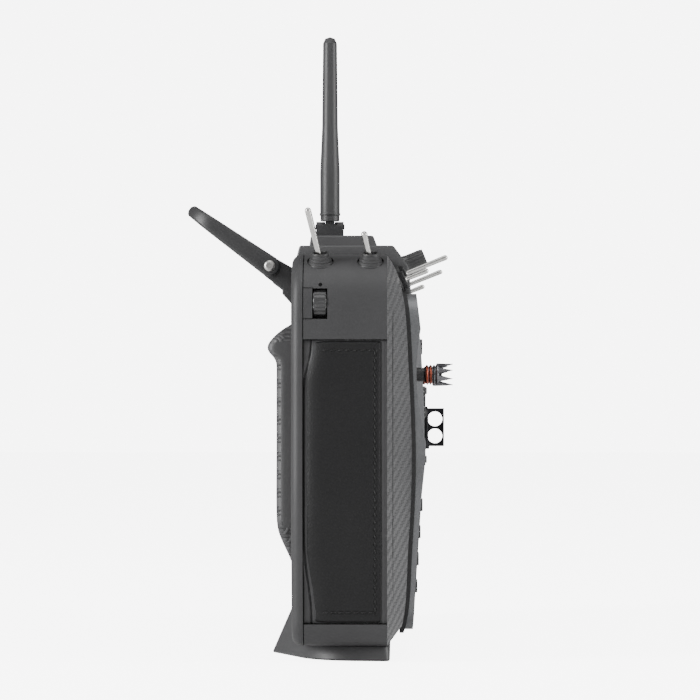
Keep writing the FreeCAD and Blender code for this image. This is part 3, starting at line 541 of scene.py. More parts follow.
FAMILIES = {
    "film_embossed_twill": ["front_shell"],
    "abs_moulded_grained": ["rear_shell", "side_panels"],
    "abs_moulded_fine": ["top_housing", "stand_foot", "gimbal_frames"],
    "nylon_moulded_satin": ["handle_lugs", "handle", "antenna_swivel", "stick"],
    "steel_stainless_blasted": ["handle_screws"],
    "elastomer_seal_matt": ["front_gasket"],
    "lacquer_metallic_satin": ["face_panel"],
    "steel_black_oxide": ["case_screws", "neck_strap_hook"],
    "glass_hard_coated": ["screen_lens"],
    "display_stack_laminated": ["lcd_module"],
    "glass_epoxy_soldermasked": ["main_board"],
    "pvc_shrink_sleeve": ["battery_cells"],
    "silicone_antenna_sleeve": ["antenna_rod"],
    "nitrile_switch_boot": ["switch_nuts"],
    "polycarbonate_keys_satin": ["scroll_wheel", "knob", "side_lever", "trim", "mode_button",
        "menu_key", "page_key", "return_key"],
    "leather_pebbled": ["side_grip"],
    "rubber_moulded_weave": ["rear_grip"],
    "brass_nickel_plated": ["toggle"],
    "aluminium_anodised_clear": ["gimbal_yoke", "power_button"],
    "aluminium_anodised_black": ["stick_end"],
}
CAD_FINISH = {family: material for material, names in FAMILIES.items() for family in names}


def cad_finish(node):
    """Material name for a CAD node: its own entry, or that of the family whose name it starts with."""
    families = [key for key in CAD_FINISH if node.startswith(key)]
    return CAD_FINISH[max(families, key=len)]


# ---------------------------------------------------------------- settings

class TransmitterTints(bpy.types.PropertyGroup):
    """Colours of the finishes."""
    shell: colour("Shell", "Grained ABS of the case", "#333334")
    housing: colour("Housing", "Fine ABS of the top housing and foot", "#3e3e3f")
    handle: colour("Handle", "Satin nylon of the handle", "#2c2c2d")
    controls: colour("Controls", "Keys, knobs and wheel", "#2c2c2d")
    antenna: colour("Antenna", "Silicone sleeve of the antenna", "#343435")
    nuts: colour("Switch boots", "Rubber of the switch boots", "#2b2b2c")
    face: colour("Face", "Metallic lacquer of the face", "#6c6d6f")
    film: colour("Film", "Twill film round the front", "#3c3c3d")
    leather: colour("Leather", "Leather of the side grips", "#121213")
    thread: colour("Thread", "Stitching of the side grips", "#151516")
    rubber: colour("Rubber", "Rubber of the rear grips", "#3a3a3b")
    lever: colour("Levers", "Nickel of the toggle levers", "#c9c8c5")
    oxide: colour("Black steel", "Screws and strap plate", "#2a2a2c")
    crown: colour("Crown", "Black anodising of the stick ends", "#77777a")
    copper: colour("Rings", "Copper-red anodising of the stick rings", "#a65a49")
    gimbal: colour("Gimbal", "Machined gimbal ring", "#a9abae")
    glass: colour("Glass", "Tint of the display cover", "#15171a")
    board: colour("Board", "Solder mask of the main board", "#123021")
    sleeve: colour("Cell sleeve", "Shrink sleeve of the cells", "#2c4a78")


class TransmitterStage(bpy.types.PropertyGroup):
    """Studio that the transmitter stands in."""
    floor: size("Floor", "Width of the studio sweep", 9000)
    lens: FloatProperty(name="Lens", description="Focal length of the camera",
                        default=169.7, min=10, unit="CAMERA")
    key: FloatProperty(name="Key light", description="Power of the large soft light",
                       default=5.5, unit="POWER")
    rim: FloatProperty(name="Edge lights", description="Power of each edge light",
                       default=38, unit="POWER")
    top: FloatProperty(name="Overhead light", description="Power of the overhead light",
                       default=17, unit="POWER")
    sky: FloatProperty(name="Backdrop", description="Brightness of the white backdrop",
                       default=0.26, min=0)


# ---------------------------------------------------------------- finishes and stage

class TRANSMITTER_OT_finishes(bpy.types.Operator):
    """Make every material and give the CAD pieces theirs"""
    bl_idname = "transmitter.finishes"
    bl_label = "Finishes"

    def execute(self, context):
        tint = context.scene.transmitter_tints
        make_plastics(tint)
        make_face_paint(tint)
        make_carbon_film(tint)
        make_leather(tint)
        make_thread(tint)
        make_grip_rubber(tint)
        make_metals(tint)
        make_screen(tint)
        make_inner(tint)
        for name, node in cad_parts.items():
            for slot in node.material_slots:
                slot.material = bpy.data.materials[cad_finish(name)]
        return {"FINISHED"}


class TRANSMITTER_OT_stage(bpy.types.Operator):
    """Lay out the white sweep, the soft lights and the camera"""
    bl_idname = "transmitter.stage"
    bl_label = "Stage"

    def soft_light(self, context, name, place, target, wide, high, power):
        lamp = bpy.data.lights.new(name, "AREA")
        lamp.shape = "RECTANGLE"
        lamp.size = wide
        lamp.size_y = high
        lamp.energy = power
        light = bpy.data.objects.new(name, lamp)
        light.location = place
        light.rotation_euler = (Vector(target) - Vector(place)).to_track_quat("-Z", "Y").to_euler()
        light.visible_camera = False
        context.scene.collection.objects.link(light)

    def execute(self, context):
        stage = context.scene.transmitter_stage
        tree, shader = make_floor_paint()
        # Only the camera sees the sweep glow: it stands for the bright wash on a studio backdrop.
        seen = add_node(tree, "ShaderNodeLightPath").outputs["Is Camera Ray"]
        shader.inputs["Emission Color"].default_value = (1, 1, 1, 1)
        wash = calc(tree, "MULTIPLY", seen, 6.3)
        tree.links.new(wash.outputs[0], shader.inputs["Emission Strength"])
        bm = bmesh.new()
        bmesh.ops.create_grid(bm, x_segments=8, y_segments=8, size=stage.floor / 2)
        mesh = bpy.data.meshes.new("studio_sweep")
        bm.to_mesh(mesh)
        bm.free()
        mesh.materials.append(bpy.data.materials["emulsion_rolled_white"])
        floor = bpy.data.objects.new("studio_sweep", mesh)
        context.scene.collection.objects.link(floor)
        floor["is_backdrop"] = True

        world = bpy.data.worlds.new("white_backdrop")
        world.use_nodes = True
        context.scene.world = world
        tree = world.node_tree
        sky = tree.nodes["Background"]
        sky.inputs["Color"].default_value = (1, 1, 1, 1)
        seen = add_node(tree, "ShaderNodeLightPath").outputs["Is Camera Ray"]
        glow = add_node(tree, "ShaderNodeMapRange", {"Value": seen, "To Min": stage.sky, "To Max": 7.0})
        tree.links.new(glow.outputs[0], sky.inputs["Strength"])

        aim = (0, 0, 0.12)
        self.soft_light(context, "key_left", (-1.9, -0.5, 1.0), aim, 1.4, 1.2, stage.key)
        self.soft_light(context, "edge_rear", (-0.75, 1.5, 0.5), aim, 0.5, 1.6, stage.rim * 1.5)
        self.soft_light(context, "edge_front", (-0.55, -1.7, 0.4), aim, 0.8, 1.6, stage.rim)
        self.soft_light(context, "overhead", (-0.5, 0, 1.9), aim, 1.4, 1.4, stage.top)

        camera = bpy.data.objects.new("camera", bpy.data.cameras.new("camera"))
        camera.data.lens = stage.lens
        camera.data.clip_start = 0.01
        camera.location = (-1.5, -0.029, 0.1133)
        look = Vector((0, -0.0072, 0.1315)) - camera.location
        camera.rotation_euler = look.to_track_quat("-Z", "Y").to_euler()
        context.scene.collection.objects.link(camera)
        context.scene.camera = camera
        return {"FINISHED"}


# ---------------------------------------------------------------- side and rear grips

class TransmitterGrips(bpy.types.PropertyGroup):
    """Padded side grips and rubber rear grips."""
    crown: size("Crown", "How far the leather stands up in the middle", 0.55)
    roll: size("Rear roll", "Width of the leather's turn at its rear edge", 8.0)
    stitch_pitch: size("Stitch pitch", "Distance from one stitch to the next", 3.0)
    stitch_length: size("Stitch length", "Length of one stitch", 2.3)
    rubber_edge: size("Rubber edge", "Radius along the rear grips' edges", 3.4)


PAD_FRONT = -21.8
PAD_LOW = 17.0
PAD_HIGH = 133.4
SEAM_FRONT = -19.5
SEAM_LOW = 21.2
SEAM_HIGH = 129.7
CARRIER_FRONT = -24.4
CARRIER_REAR = 10.3
CARRIER_LOW = 16.6
CARRIER_HIGH = 133.8


def pad_rear(z):
    """Rear edge of the leather: a shallow hexagon."""
    return 7.0 + 3.1 * min(ease((z - 20) / 30), ease((131 - z) / 16))


def drop_at_edge(distance, radius, depth=None):
    """How far a rounded edge has fallen at a distance in from it.

    The edge is a circle's arc, or an ellipse's where a depth is given.
    """
    if distance >= radius:
        return 0.0
    share = 1 - max(distance, 0.0) / radius
    return (depth or radius) * (1 - math.sqrt(1 - share ** 2))


def pad_height(y, z, crown, roll):
    """Height of the leather above the case's side, in millimetres."""
    rear = pad_rear(z)
    across = (y - PAD_FRONT) / (rear - PAD_FRONT)
    along = (z - PAD_LOW) / (PAD_HIGH - PAD_LOW)
    height = crown * (1 - (2 * across - 1) ** 4) * (1 - (2 * along - 1) ** 8)
    inside = y > SEAM_FRONT - 1 and SEAM_LOW - 1 < z < SEAM_HIGH + 1
    if inside:
        height -= 0.38 * ridge(y - SEAM_FRONT, 1.9)
    if y > SEAM_FRONT - 1 and y < rear - roll:
        height -= 0.38 * max(ridge(z - SEAM_LOW, 1.9), ridge(z - SEAM_HIGH, 1.9))
    height -= 0.22 * ridge(y - SEAM_FRONT + 1.3, 0.9)
    # Folds where the leather is pulled round the rear edge, and a faint overall unevenness.
    pull = ease(1 - (rear - y) / 9)
    height += 0.10 * pull * noise.noise(Vector((y * 0.10, z * 0.42, 3.1)))
    height += 0.16 * noise.noise(Vector((y * 0.09, z * 0.06, 8.7)))
    height -= drop_at_edge(y - PAD_FRONT, 1.1)
    height -= drop_at_edge(min(z - PAD_LOW, PAD_HIGH - z), 1.1)
    return max(height - drop_at_edge(rear - y, roll, 2.6), -2.3)


def stitch_rows():
    """Start and end of each stitched row, as (y, z), and which way the row's threads lean."""
    rear = pad_rear(SEAM_HIGH) - 4.5
    yield (SEAM_FRONT, SEAM_HIGH), (rear, SEAM_HIGH)
    yield (SEAM_FRONT, SEAM_LOW), (SEAM_FRONT, SEAM_HIGH)
    yield (SEAM_FRONT, SEAM_LOW), (rear, SEAM_LOW)


class TRANSMITTER_OT_side_grips(bpy.types.Operator):
    """Padded leather side grips, their plastic frames and every stitch"""
    bl_idname = "transmitter.side_grips"
    bl_label = "Side grips"

    def leather(self, word, side, crown, roll):
        def place(u, v):
            z = PAD_LOW + v * (PAD_HIGH - PAD_LOW)
            y = PAD_FRONT + u * (pad_rear(z) - PAD_FRONT)
            return Vector((side * (side_x(z) + pad_height(y, z, crown, roll)), y, z))
        bm = bmesh.new()
        side_sheet(bm, 76, 250, place, side, 1.3)
        pad = finish_piece(bm, f"leather_pad_{word}", "leather_pebbled", replaces=[f"side_grip_{word}"],
                           slot="grip_leather", angle=60)

    def frame_plate(self, word, side):
        """Plastic carrier that the leather is stretched over, with fine grooves along its front."""
        def place(u, v):
            z = CARRIER_LOW + v * (CARRIER_HIGH - CARRIER_LOW)
            y = CARRIER_FRONT + u * (CARRIER_REAR - CARRIER_FRONT)
            height = -0.25 - 0.6 * ease((y + 22.6) / 1.2)
            height -= 0.5 * ridge(y + 22.1, 0.9) + 0.3 * ridge(y + 23.9, 0.5)
            # Groove that the leather's rear edge is tucked into.
            height -= 0.95 * ridge(y - pad_rear(z) + 0.1, 1.5)
            height -= drop_at_edge(min(z - CARRIER_LOW, CARRIER_HIGH - z), 0.5)
            height -= drop_at_edge(CARRIER_REAR - y, 0.8)
            return Vector((side * (side_x(z) + height), y, z))
        bm = bmesh.new()
        side_sheet(bm, 110, 60, place, side, 1.2)
        finish_piece(bm, f"leather_carrier_{word}", "abs_moulded_grained", slot="shell_plastic", angle=50)

    def stitches(self, word, side, crown, roll, pitch, length):
        bm = bmesh.new()
        for (y0, z0), (y1, z1) in stitch_rows():
            run = Vector((0, y1 - y0, z1 - z0))
            count = int(run.length / pitch)
            step = run.normalized()
            for i in range(count):
                at = Vector((0, y0, z0)) + step * ((i + 0.5) * run.length / count)
                at.x = side * (side_x(at.z) + pad_height(at.y, at.z, crown, roll) + 0.12)
                made = bmesh.ops.create_uvsphere(bm, u_segments=6, v_segments=5, radius=1.0)["verts"]
                bmesh.ops.scale(bm, vec=(0.42, 0.36, length / 2), verts=made)
                turn = Z_AXIS.rotation_difference(step).to_matrix()
                lean = Matrix.Rotation(math.radians(7) * side, 3, "X")
                bmesh.ops.rotate(bm, cent=(0, 0, 0), matrix=lean @ turn, verts=made)
                bmesh.ops.translate(bm, vec=at, verts=made)
        finish_piece(bm, f"leather_stitches_{word}", "polyester_thread_twisted", slot="grip_leather",
                     angle=80)

    def execute(self, context):
        grips = context.scene.transmitter_grips
        crown, roll = grips.crown / MM, grips.roll / MM
        for word, side in SIDES.items():
            self.leather(word, side, crown, roll)
            self.frame_plate(word, side)
            self.stitches(word, side, crown, roll, grips.stitch_pitch / MM, grips.stitch_length / MM)
        return {"FINISHED"}


REAR_GRIP_BACK = [
    (38.5, 14.75), (44.0, 17.0), (50.0, 19.7), (55.0, 21.3), (62.0, 21.9), (90.0, 21.9), (116.0, 21.9),
    (123.0, 21.9), (125.2, 22.2), (127.2, 23.3), (129.0, 24.9), (130.9, 25.7), (132.8, 25.2), (135.8, 22.9),
    (139.1, 19.1), (141.4, 15.2),
]


def smooth_through(points, at):
    """Catmull-Rom value through (position, value) points."""
    for i in range(len(points) - 1):
        if at <= points[i + 1][0] or i == len(points) - 2:
            break
    (p1, v1), (p2, v2) = points[i], points[i + 1]
    p0, v0 = points[max(i - 1, 0)]
    p3, v3 = points[min(i + 2, len(points) - 1)]
    run = p2 - p1
    m1 = (v2 - v0) / max(p2 - p0, 1e-6) * run
    m2 = (v3 - v1) / max(p3 - p1, 1e-6) * run
    t = (at - p1) / run
    return ((2 * t ** 3 - 3 * t * t + 1) * v1 + (t ** 3 - 2 * t * t + t) * m1
            + (3 * t * t - 2 * t ** 3) * v2 + (t ** 3 - t * t) * m2)


class TRANSMITTER_OT_rear_grips(bpy.types.Operator):
    """Rubber rear grips: a woven gripping face over smooth side walls, with a finger rest at the top"""
    bl_idname = "transmitter.rear_grips"
    bl_label = "Rear grips"

    def execute(self, context):
        edge = context.scene.transmitter_grips.rubber_edge / MM
        for word, side in SIDES.items():
            low, high = cad_box(f"rear_grip_{word}")
            middle, half = abs(low.x + high.x) / 2, (high.x - low.x) / 2
            bottom, top = low.z + 0.2, high.z - 0.2

            def place(u, v):
                z = bottom + v * (top - bottom)
                back = smooth_through(REAR_GRIP_BACK, z)
                reach = half - 10 * ease((60 - z) / 22) - 7 * ease((z - 133) / 9)
                base = low.y + 0.1
                rise = back - base
                radius = min(edge, rise * 0.9)
                # Round the section: up one wall, over the rounded back and down the other wall.
                lengths = [rise - radius, radius * math.pi / 2, 2 * (reach - radius)]
                total = 2 * lengths[0] + 2 * lengths[1] + lengths[2]
                run = u * total
                mirror = 1 if run <= total / 2 else -1
                run = min(run, total - run)
                if run < lengths[0]:
                    return Vector((side * (middle + mirror * reach), base + run, z))
                if run < lengths[0] + lengths[1]:
                    turn = (run - lengths[0]) / radius
                    x = reach - radius + radius * math.cos(turn)
                    return Vector((side * (middle + mirror * x), back - radius + radius * math.sin(turn), z))
                x = reach - radius - (run - lengths[0] - lengths[1])
                crown = 0.5 * (1 - (x / reach) ** 2)
                return Vector((side * (middle + mirror * x), back + crown * min(1, rise / 6) - 0.2, z))

            bm = bmesh.new()
            mapped_grid(bm, 60, 128, place)
            bmesh.ops.holes_fill(bm, edges=[e for e in bm.edges if e.is_boundary], sides=0)
            outward(bm)
            for face in bm.faces:
                normal = face.normal
                walls = abs(normal.x) > 0.93 or abs(normal.z) > 0.95 or normal.y < -0.5
                face.material_index = 1 if walls else 0
            piece = finish_piece(bm, f"rubber_grip_{word}", ["rubber_moulded_weave", "rubber_moulded_plain"],
                                 replaces=[f"rear_grip_{word}"], slot="grip_rubber", angle=50)
        return {"FINISHED"}


# ---------------------------------------------------------------- sticks, toggles and knobs

class TransmitterControls(bpy.types.PropertyGroup):
    """Sticks, toggles, knobs and levers."""
    crown_radius: size("Crown radius", "Outer radius of a stick's crown", 5.0)
    crown_spikes: IntProperty(name="Crown spikes", description="Number of spikes on a stick's crown",
                              default=8, min=4)
    boot_wall: size("Boot opening", "Radius of the hole in a switch boot", 2.6)
    knob_flutes: IntProperty(name="Knob flutes", description="Number of grooves round a knob",
                             default=20, min=6)


STICK_X = 76.0
STICK_Z = 120.0
# Turned sections, as radius and distance in front of the gimbal's middle; the ring's starts at its own rear.
COLLAR = [(2.1, 40.25), (3.35, 40.25), (3.45, 40.5), (3.3, 40.7), (3.3, 43.9), (4.0, 44.1), (4.2, 44.5),
          (4.0, 44.9), (3.5, 45.1), (3.5, 45.45), (2.1, 45.45), (2.1, 40.25)]
RING = [(3.0, 0), (3.7, 0), (3.85, 0.2), (4.25, 0.62), (4.25, 0.78), (3.85, 1.2), (3.7, 1.4), (3.0, 1.4),
        (3.0, 0)]
KNOB_TOP = Vector((45.0, -40.9, 172.4))
KNOB_DEPTH = 11.5
LEVER_CENTRE = Vector((136.7, 3.2, 148.9))
# Base radius, top radius and height of a switch boot.
SHOULDER_BOOT = (5.5, 3.4, 6.3)
FACE_BOOT = (4.6, 3.7, 4.0)


def add_spike(bm, root_low, root_high, inner, outer, width, tip_radius):
    """One pointed crown spike, seen with the crown's axis along +Z and the spike at +X."""
    base = [(inner, -width / 2), (outer, -width / 2), (outer, width / 2), (inner, width / 2)]
    low = [bm.verts.new((x, y, root_low)) for x, y in base]
    high = [bm.verts.new((x, y, root_high)) for x, y in base]
    tip = [bm.verts.new((x, 0, root_high + 5.8)) for x in (tip_radius - 0.35, tip_radius)]
    made = low + high + tip
    for i in range(4):
        j = (i + 1) % 4
        bm.faces.new((low[i], low[j], high[j], high[i]))
    bm.faces.new(reversed(low))
    bm.faces.new((high[0], high[1], tip[1], tip[0]))
    bm.faces.new((high[2], high[3], tip[0], tip[1]))
    bm.faces.new((high[1], high[2], tip[1]))
    bm.faces.new((high[3], high[0], tip[0]))
    return made


class TRANSMITTER_OT_stick_ends(bpy.types.Operator):
    """Stick ends: black collar, two copper rings, a scalloped hub and a crown of long spikes"""
    bl_idname = "transmitter.stick_ends"
    bl_label = "Stick ends"

    def execute(self, context):
        controls = context.scene.transmitter_controls
        radius = controls.crown_radius / MM
        for word, side in SIDES.items():
            origin = Vector((side * STICK_X, 0, STICK_Z))
            body = f"stick_{word}"

            turned(f"stick_collar_{word}", [COLLAR], origin, -Y_AXIS, 40, "aluminium_anodised_black", body,
                   slot="stick_metal")
            rings = [[(r, low + h) for r, h in RING] for low in (40.75, 42.35)]
            turned(f"stick_rings_{word}", rings, origin, -Y_AXIS, 48, "aluminium_anodised_copper", body,
                   slot="stick_metal")

            bm = bmesh.new()
            hub = [(3.4, 45.3), (4.2, 45.3), (radius - 0.5, 45.6), (radius - 0.25, 45.8),
                   (radius - 0.25, 46.5), (radius - 0.45, 46.7), (3.4, 46.7), (3.4, 45.3)]
            add_spin(bm, hub, origin, -Y_AXIS, 64)
            outward(bm)
            for vert in bm.verts:
                across = vert.co - origin
                across.y = 0
                if across.length > radius - 0.5:
                    groove = math.cos(16 * math.atan2(across.z, across.x))
                    vert.co += across.normalized() * 0.09 * groove
            pointing = Z_AXIS.rotation_difference(-Y_AXIS).to_matrix()
            spikes = []
            for i in range(controls.crown_spikes):
                spike = add_spike(bm, 46.3, 46.8, 3.5, radius - 0.3, 2.5, radius)
                turn = Matrix.Rotation(2 * math.pi * (i + 0.5) / controls.crown_spikes, 3, "Z")
                bmesh.ops.rotate(bm, cent=(0, 0, 0), matrix=pointing @ turn, verts=spike)
                bmesh.ops.translate(bm, vec=origin, verts=spike)
                spikes += spike
            bmesh.ops.recalc_face_normals(bm, faces=bm.faces)
            floor = bmesh.ops.create_circle(bm, cap_ends=True, segments=32, radius=3.45)["verts"]
            bmesh.ops.rotate(bm, cent=(0, 0, 0), matrix=pointing, verts=floor)
            bmesh.ops.translate(bm, vec=origin - Y_AXIS * 46.2, verts=floor)
            finish_piece(bm, f"stick_crown_{word}", "aluminium_anodised_black", body,
                         replaces=[f"stick_end_{word}"], slot="stick_metal", angle=25)
        return {"FINISHED"}


def switch_seats():
    """Base point, axis and (base radius, top radius, height) of each switch boot."""
    lean, rise = math.radians(20), math.radians(22)
    forward = Vector((0, -math.cos(rise), math.sin(rise)))
    for side in SIDES.values():
        up_and_out = Vector((side * math.sin(lean), 0, math.cos(lean)))
        yield Vector((side * 129.5, 3.2, 164.4)), up_and_out, SHOULDER_BOOT
        yield Vector((side * 129.5, -17.6, 164.4)), up_and_out, SHOULDER_BOOT
        yield Vector((side * 86.0, -28.9, 161.8)), forward, FACE_BOOT
        yield Vector((side * 107.0, -28.6, 158.6)), forward, FACE_BOOT


class TRANSMITTER_OT_switch_boots(bpy.types.Operator):
    """Moulded rubber boots round the eight toggles"""
    bl_idname = "transmitter.switch_boots"
    bl_label = "Switch boots"

    def execute(self, context):
        bore = context.scene.transmitter_controls.boot_wall / MM
        bm = bmesh.new()
        for base, axis, (low_r, top_r, height) in switch_seats():
            slope = (low_r - top_r) / (height - 1.6)
            outside = [(bore, 0.0), (low_r - 0.2, 0.0), (low_r, 0.25), (low_r, 1.35), (low_r - 0.25, 1.6)]
            # Three soft folds round the cone.
            for i in range(13):
                h = 1.75 + (height - 2.7) * i / 12
                radius = low_r - 0.25 - slope * (h - 1.6) + 0.16 * math.sin(i * math.pi / 2)
                outside.append((radius, h))
            outside += [(top_r + 0.12, height - 0.75), (top_r + 0.2, height - 0.45),
                        (top_r + 0.05, height - 0.12), (top_r - 0.25, height), (bore + 0.25, height),
                        (bore, height - 0.3), (bore, 0.0)]
            add_spin(bm, outside, base, axis, 40)
        outward(bm)
        finish_piece(bm, "switch_boots", "nitrile_switch_boot", replaces=["switch_nuts"], slot="nut_rubber")
        return {"FINISHED"}


class TRANSMITTER_OT_knobs(bpy.types.Operator):
    """Fluted knobs on the top housing, with a pointer line"""
    bl_idname = "transmitter.knobs"
    bl_label = "Knobs"

    def execute(self, context):
        flutes = context.scene.transmitter_controls.knob_flutes
        rise = math.radians(23)
        axis = Vector((0, -math.cos(rise), math.sin(rise)))
        for word, side in SIDES.items():
            back = Vector((side * KNOB_TOP.x, *KNOB_TOP.yz)) - axis * KNOB_DEPTH
            bm = bmesh.new()
            profile = [(0.0, 0.0), (3.7, 0.0), (3.9, 0.3), (3.9, 2.6), (3.75, 2.9)]
            profile += [(3.75 - 0.02 * i, 2.9 + i) for i in range(1, 8)]
            profile += [(3.5, 10.6), (3.25, 11.15), (2.9, 11.35), (2.2, 11.4), (1.9, 11.2), (0.0, 11.15)]
            add_spin(bm, profile, back, axis, flutes * 6)
            outward(bm)
            side_axis = axis.cross(X_AXIS)
            for vert in bm.verts:
                height = (vert.co - back).dot(axis)
                across = vert.co - back - axis * height
                if 3.2 < height < 10.8 and across.length > 3:
                    turn = math.atan2(across.dot(side_axis), across.dot(X_AXIS))
                    vert.co -= across.normalized() * 0.2 * (0.5 + 0.5 * math.cos(flutes * turn))
            finish_piece(bm, f"fluted_knob_{word}", "polycarbonate_keys_satin", f"knob_{word}",
                         replaces=[f"knob_{word}"], slot="control_plastic", angle=40)
            bm = bmesh.new()
            made = bmesh.ops.create_cube(bm, size=1.0)["verts"]
            bmesh.ops.scale(bm, vec=(0.5, 2.4, 0.2), verts=made)
            bevel(bm, bm.edges[:], 0.07, 2)
            made = bm.verts[:]
            turn = Matrix((X_AXIS, side_axis, axis)).transposed()
            bmesh.ops.rotate(bm, cent=(0, 0, 0), matrix=turn, verts=made)
            bmesh.ops.translate(bm, vec=back + axis * 11.3 + side_axis * 2.3, verts=made)
            finish_piece(bm, f"knob_pointer_{word}", "polycarbonate_legend_white", f"knob_{word}",
                         slot="control_plastic")
        return {"FINISHED"}


def ribbed_drum(bm, middle, axis, radius, width, ribs, depth):
    """Drum with rounded ribs along its axis."""
    half = width / 2
    profile = [(0.0, -half), (radius - 0.5, -half), (radius, -half + 0.4), (radius, 0.0),
               (radius, half - 0.4), (radius - 0.5, half), (0.0, half)]
    add_spin(bm, profile, middle, axis, ribs * 6)
    outward(bm)
    across_a = axis.orthogonal().normalized()
    across_b = axis.cross(across_a)
    for vert in bm.verts:
        height = (vert.co - middle).dot(axis)
        out = vert.co - middle - axis * height
        if out.length > radius - 0.1:
            turn = math.atan2(out.dot(across_b), out.dot(across_a))
            vert.co -= out.normalized() * depth * (0.5 - 0.5 * math.cos(ribs * turn)) ** 2


class TRANSMITTER_OT_wheels(bpy.types.Operator):
    """Ribbed thumb levers in the shoulders and the ribbed scroll wheel"""
    bl_idname = "transmitter.wheels"
    bl_label = "Thumb levers and scroll wheel"

    def execute(self, context):
        for word, side in SIDES.items():
            bm = bmesh.new()
            middle = Vector((side * LEVER_CENTRE.x, *LEVER_CENTRE.yz))
            ribbed_drum(bm, middle, Y_AXIS, 6.35, 5.5, 16, 0.35)
            finish_piece(bm, f"thumb_lever_{word}", "polycarbonate_keys_satin", f"side_lever_{word}",
                         replaces=[f"side_lever_{word}"], slot="control_plastic", angle=40)
        bm = bmesh.new()
        ribbed_drum(bm, centre("scroll_wheel"), X_AXIS, 6.95, 6.6, 30, 0.4)
        finish_piece(bm, "ribbed_scroll_wheel", "polycarbonate_keys_satin", "scroll_wheel",
                     replaces=["scroll_wheel"], slot="control_plastic", angle=40)
        return {"FINISHED"}


# ---------------------------------------------------------------- eased copies of moulded CAD pieces

class TransmitterEdges(bpy.types.PropertyGroup):
    """Edge rounding of the moulded pieces."""
    housing: size("Housing edges", "Radius along the top housing's and foot's edges", 0.9)
    handle: size("Handle edges", "Radius along the handle's edges", 1.1)
    lug: size("Lug edges", "Radius along the handle lugs' edges", 0.6)
    key: size("Key edges", "Radius round each key's top", 0.35)
    trim: size("Trim edges", "Radius along the trim rockers' edges", 0.2)
    plate: size("Plate edges", "Radius along the strap plate's edges", 0.3)


def eased_copy(node, name, width, material, body=CASE, slot="shell_plastic"):
    """Copy of a CAD node with its sharp edges rounded, shown in its place."""
    bm = copy_cad(node)
    bmesh.ops.bevel(bm, geom=sharp_edges(bm), offset=width, segments=3, profile=0.5, affect="EDGES",
                    material=-1, clamp_overlap=False)
    bmesh.ops.triangulate(bm, faces=[f for f in bm.faces if len(f.verts) > 4])
    finish_piece(bm, name, material, body, replaces=[node], slot=slot, angle=38)


class TRANSMITTER_OT_body_trim(bpy.types.Operator):
    """Top housing, foot, lugs, handle and strap plate with rounded edges"""
    bl_idname = "transmitter.body_trim"
    bl_label = "Body trim"

    def execute(self, context):
        edges = context.scene.transmitter_edges
        eased_copy("top_housing", "antenna_housing", edges.housing / MM, "abs_moulded_fine")
        eased_copy("stand_foot", "flared_foot", edges.housing / MM, "abs_moulded_fine")
        eased_copy("handle_lugs", "handle_ears", edges.lug / MM, "nylon_moulded_satin")
        eased_copy("handle", "carry_handle", edges.handle / MM, "nylon_moulded_satin", "handle")
        eased_copy("neck_strap_hook", "strap_plate", edges.plate / MM, "steel_black_oxide", slot="hook_metal")
        return {"FINISHED"}


KEYS = ["page_key", "return_key"] + [f"menu_key_{i}" for i in range(1, 5)]
KEYS += [f"mode_button_{i}" for i in range(1, 7)]
TRIMS = [f"trim_{kind}_{word}" for kind in ("upright", "level") for word in SIDES]


class TRANSMITTER_OT_keys(bpy.types.Operator):
    """Keys, trims and the power button, with rounded tops"""
    bl_idname = "transmitter.keys"
    bl_label = "Keys and trims"

    def execute(self, context):
        edges = context.scene.transmitter_edges
        widths = {name: edges.key / MM for name in KEYS}
        widths.update({name: edges.trim / MM for name in TRIMS})
        for name, width in widths.items():
            eased_copy(name, f"{name}_cap", width, "polycarbonate_keys_satin", name, "control_plastic")
        eased_copy("power_button", "power_button_cap", edges.key / MM, "aluminium_anodised_clear",
                   "power_button", "control_plastic")
        return {"FINISHED"}


# ---------------------------------------------------------------- front face details

def face_depth(z):
    """Depth of the face panel's front at one height."""
    points = [(5, -34.6), (18, -35.8), (36, -36.7), (56, -38.0), (72, -39.3), (83, -40.4), (96, -40.8),
              (110, -40.5), (122, -39.9), (136, -38.9), (149, -37.4), (156, -36.6)]
    return smooth_through(points, z)


def add_strip(bm, outline, low, high):
    """Closed band between an outline and itself pulled in, from depth low to depth high.

    The outline is a list of (outer, inner) pairs of points in the front view.
    """
    rings = []
    for index, depth in ((0, low), (0, high), (1, high), (1, low)):
        rings.append([bm.verts.new((pair[index].x, depth(pair[index].y), pair[index].y)) for pair in outline])
    count = len(outline)
    for first, second in zip(rings, rings[1:] + rings[:1]):
        for i in range(count):
            j = (i + 1) % count
            bm.faces.new((first[i], first[j], second[j], second[i]))


def frame_pairs(x, z, half_x, half_z, radius, width, steps=8):
    """Outer and inner points of a rounded rectangular frame."""
    def ring(grow):
        r = max(radius + grow, 0.05)
        return rounded_box(x, z, half_x + grow, half_z + grow, r, steps)
    return list(zip(ring(width / 2), ring(-width / 2)))


# Section of a ridge inside the funnel, about its own radius and depth.
STEP = [(-0.35, -0.3), (0.35, -0.3), (0.35, 0.1), (0, 0.3), (-0.35, 0.1), (-0.35, -0.3)]


class TransmitterFace(bpy.types.PropertyGroup):
    """Trim on the front face."""
    bezel: size("Bezel width", "Width of the frame round the display", 3.4)
    groove: size("Accent width", "Width of the raised accent lines", 0.9)
    icon: size("Key mark width", "Width of the marks beside the keys", 0.55)


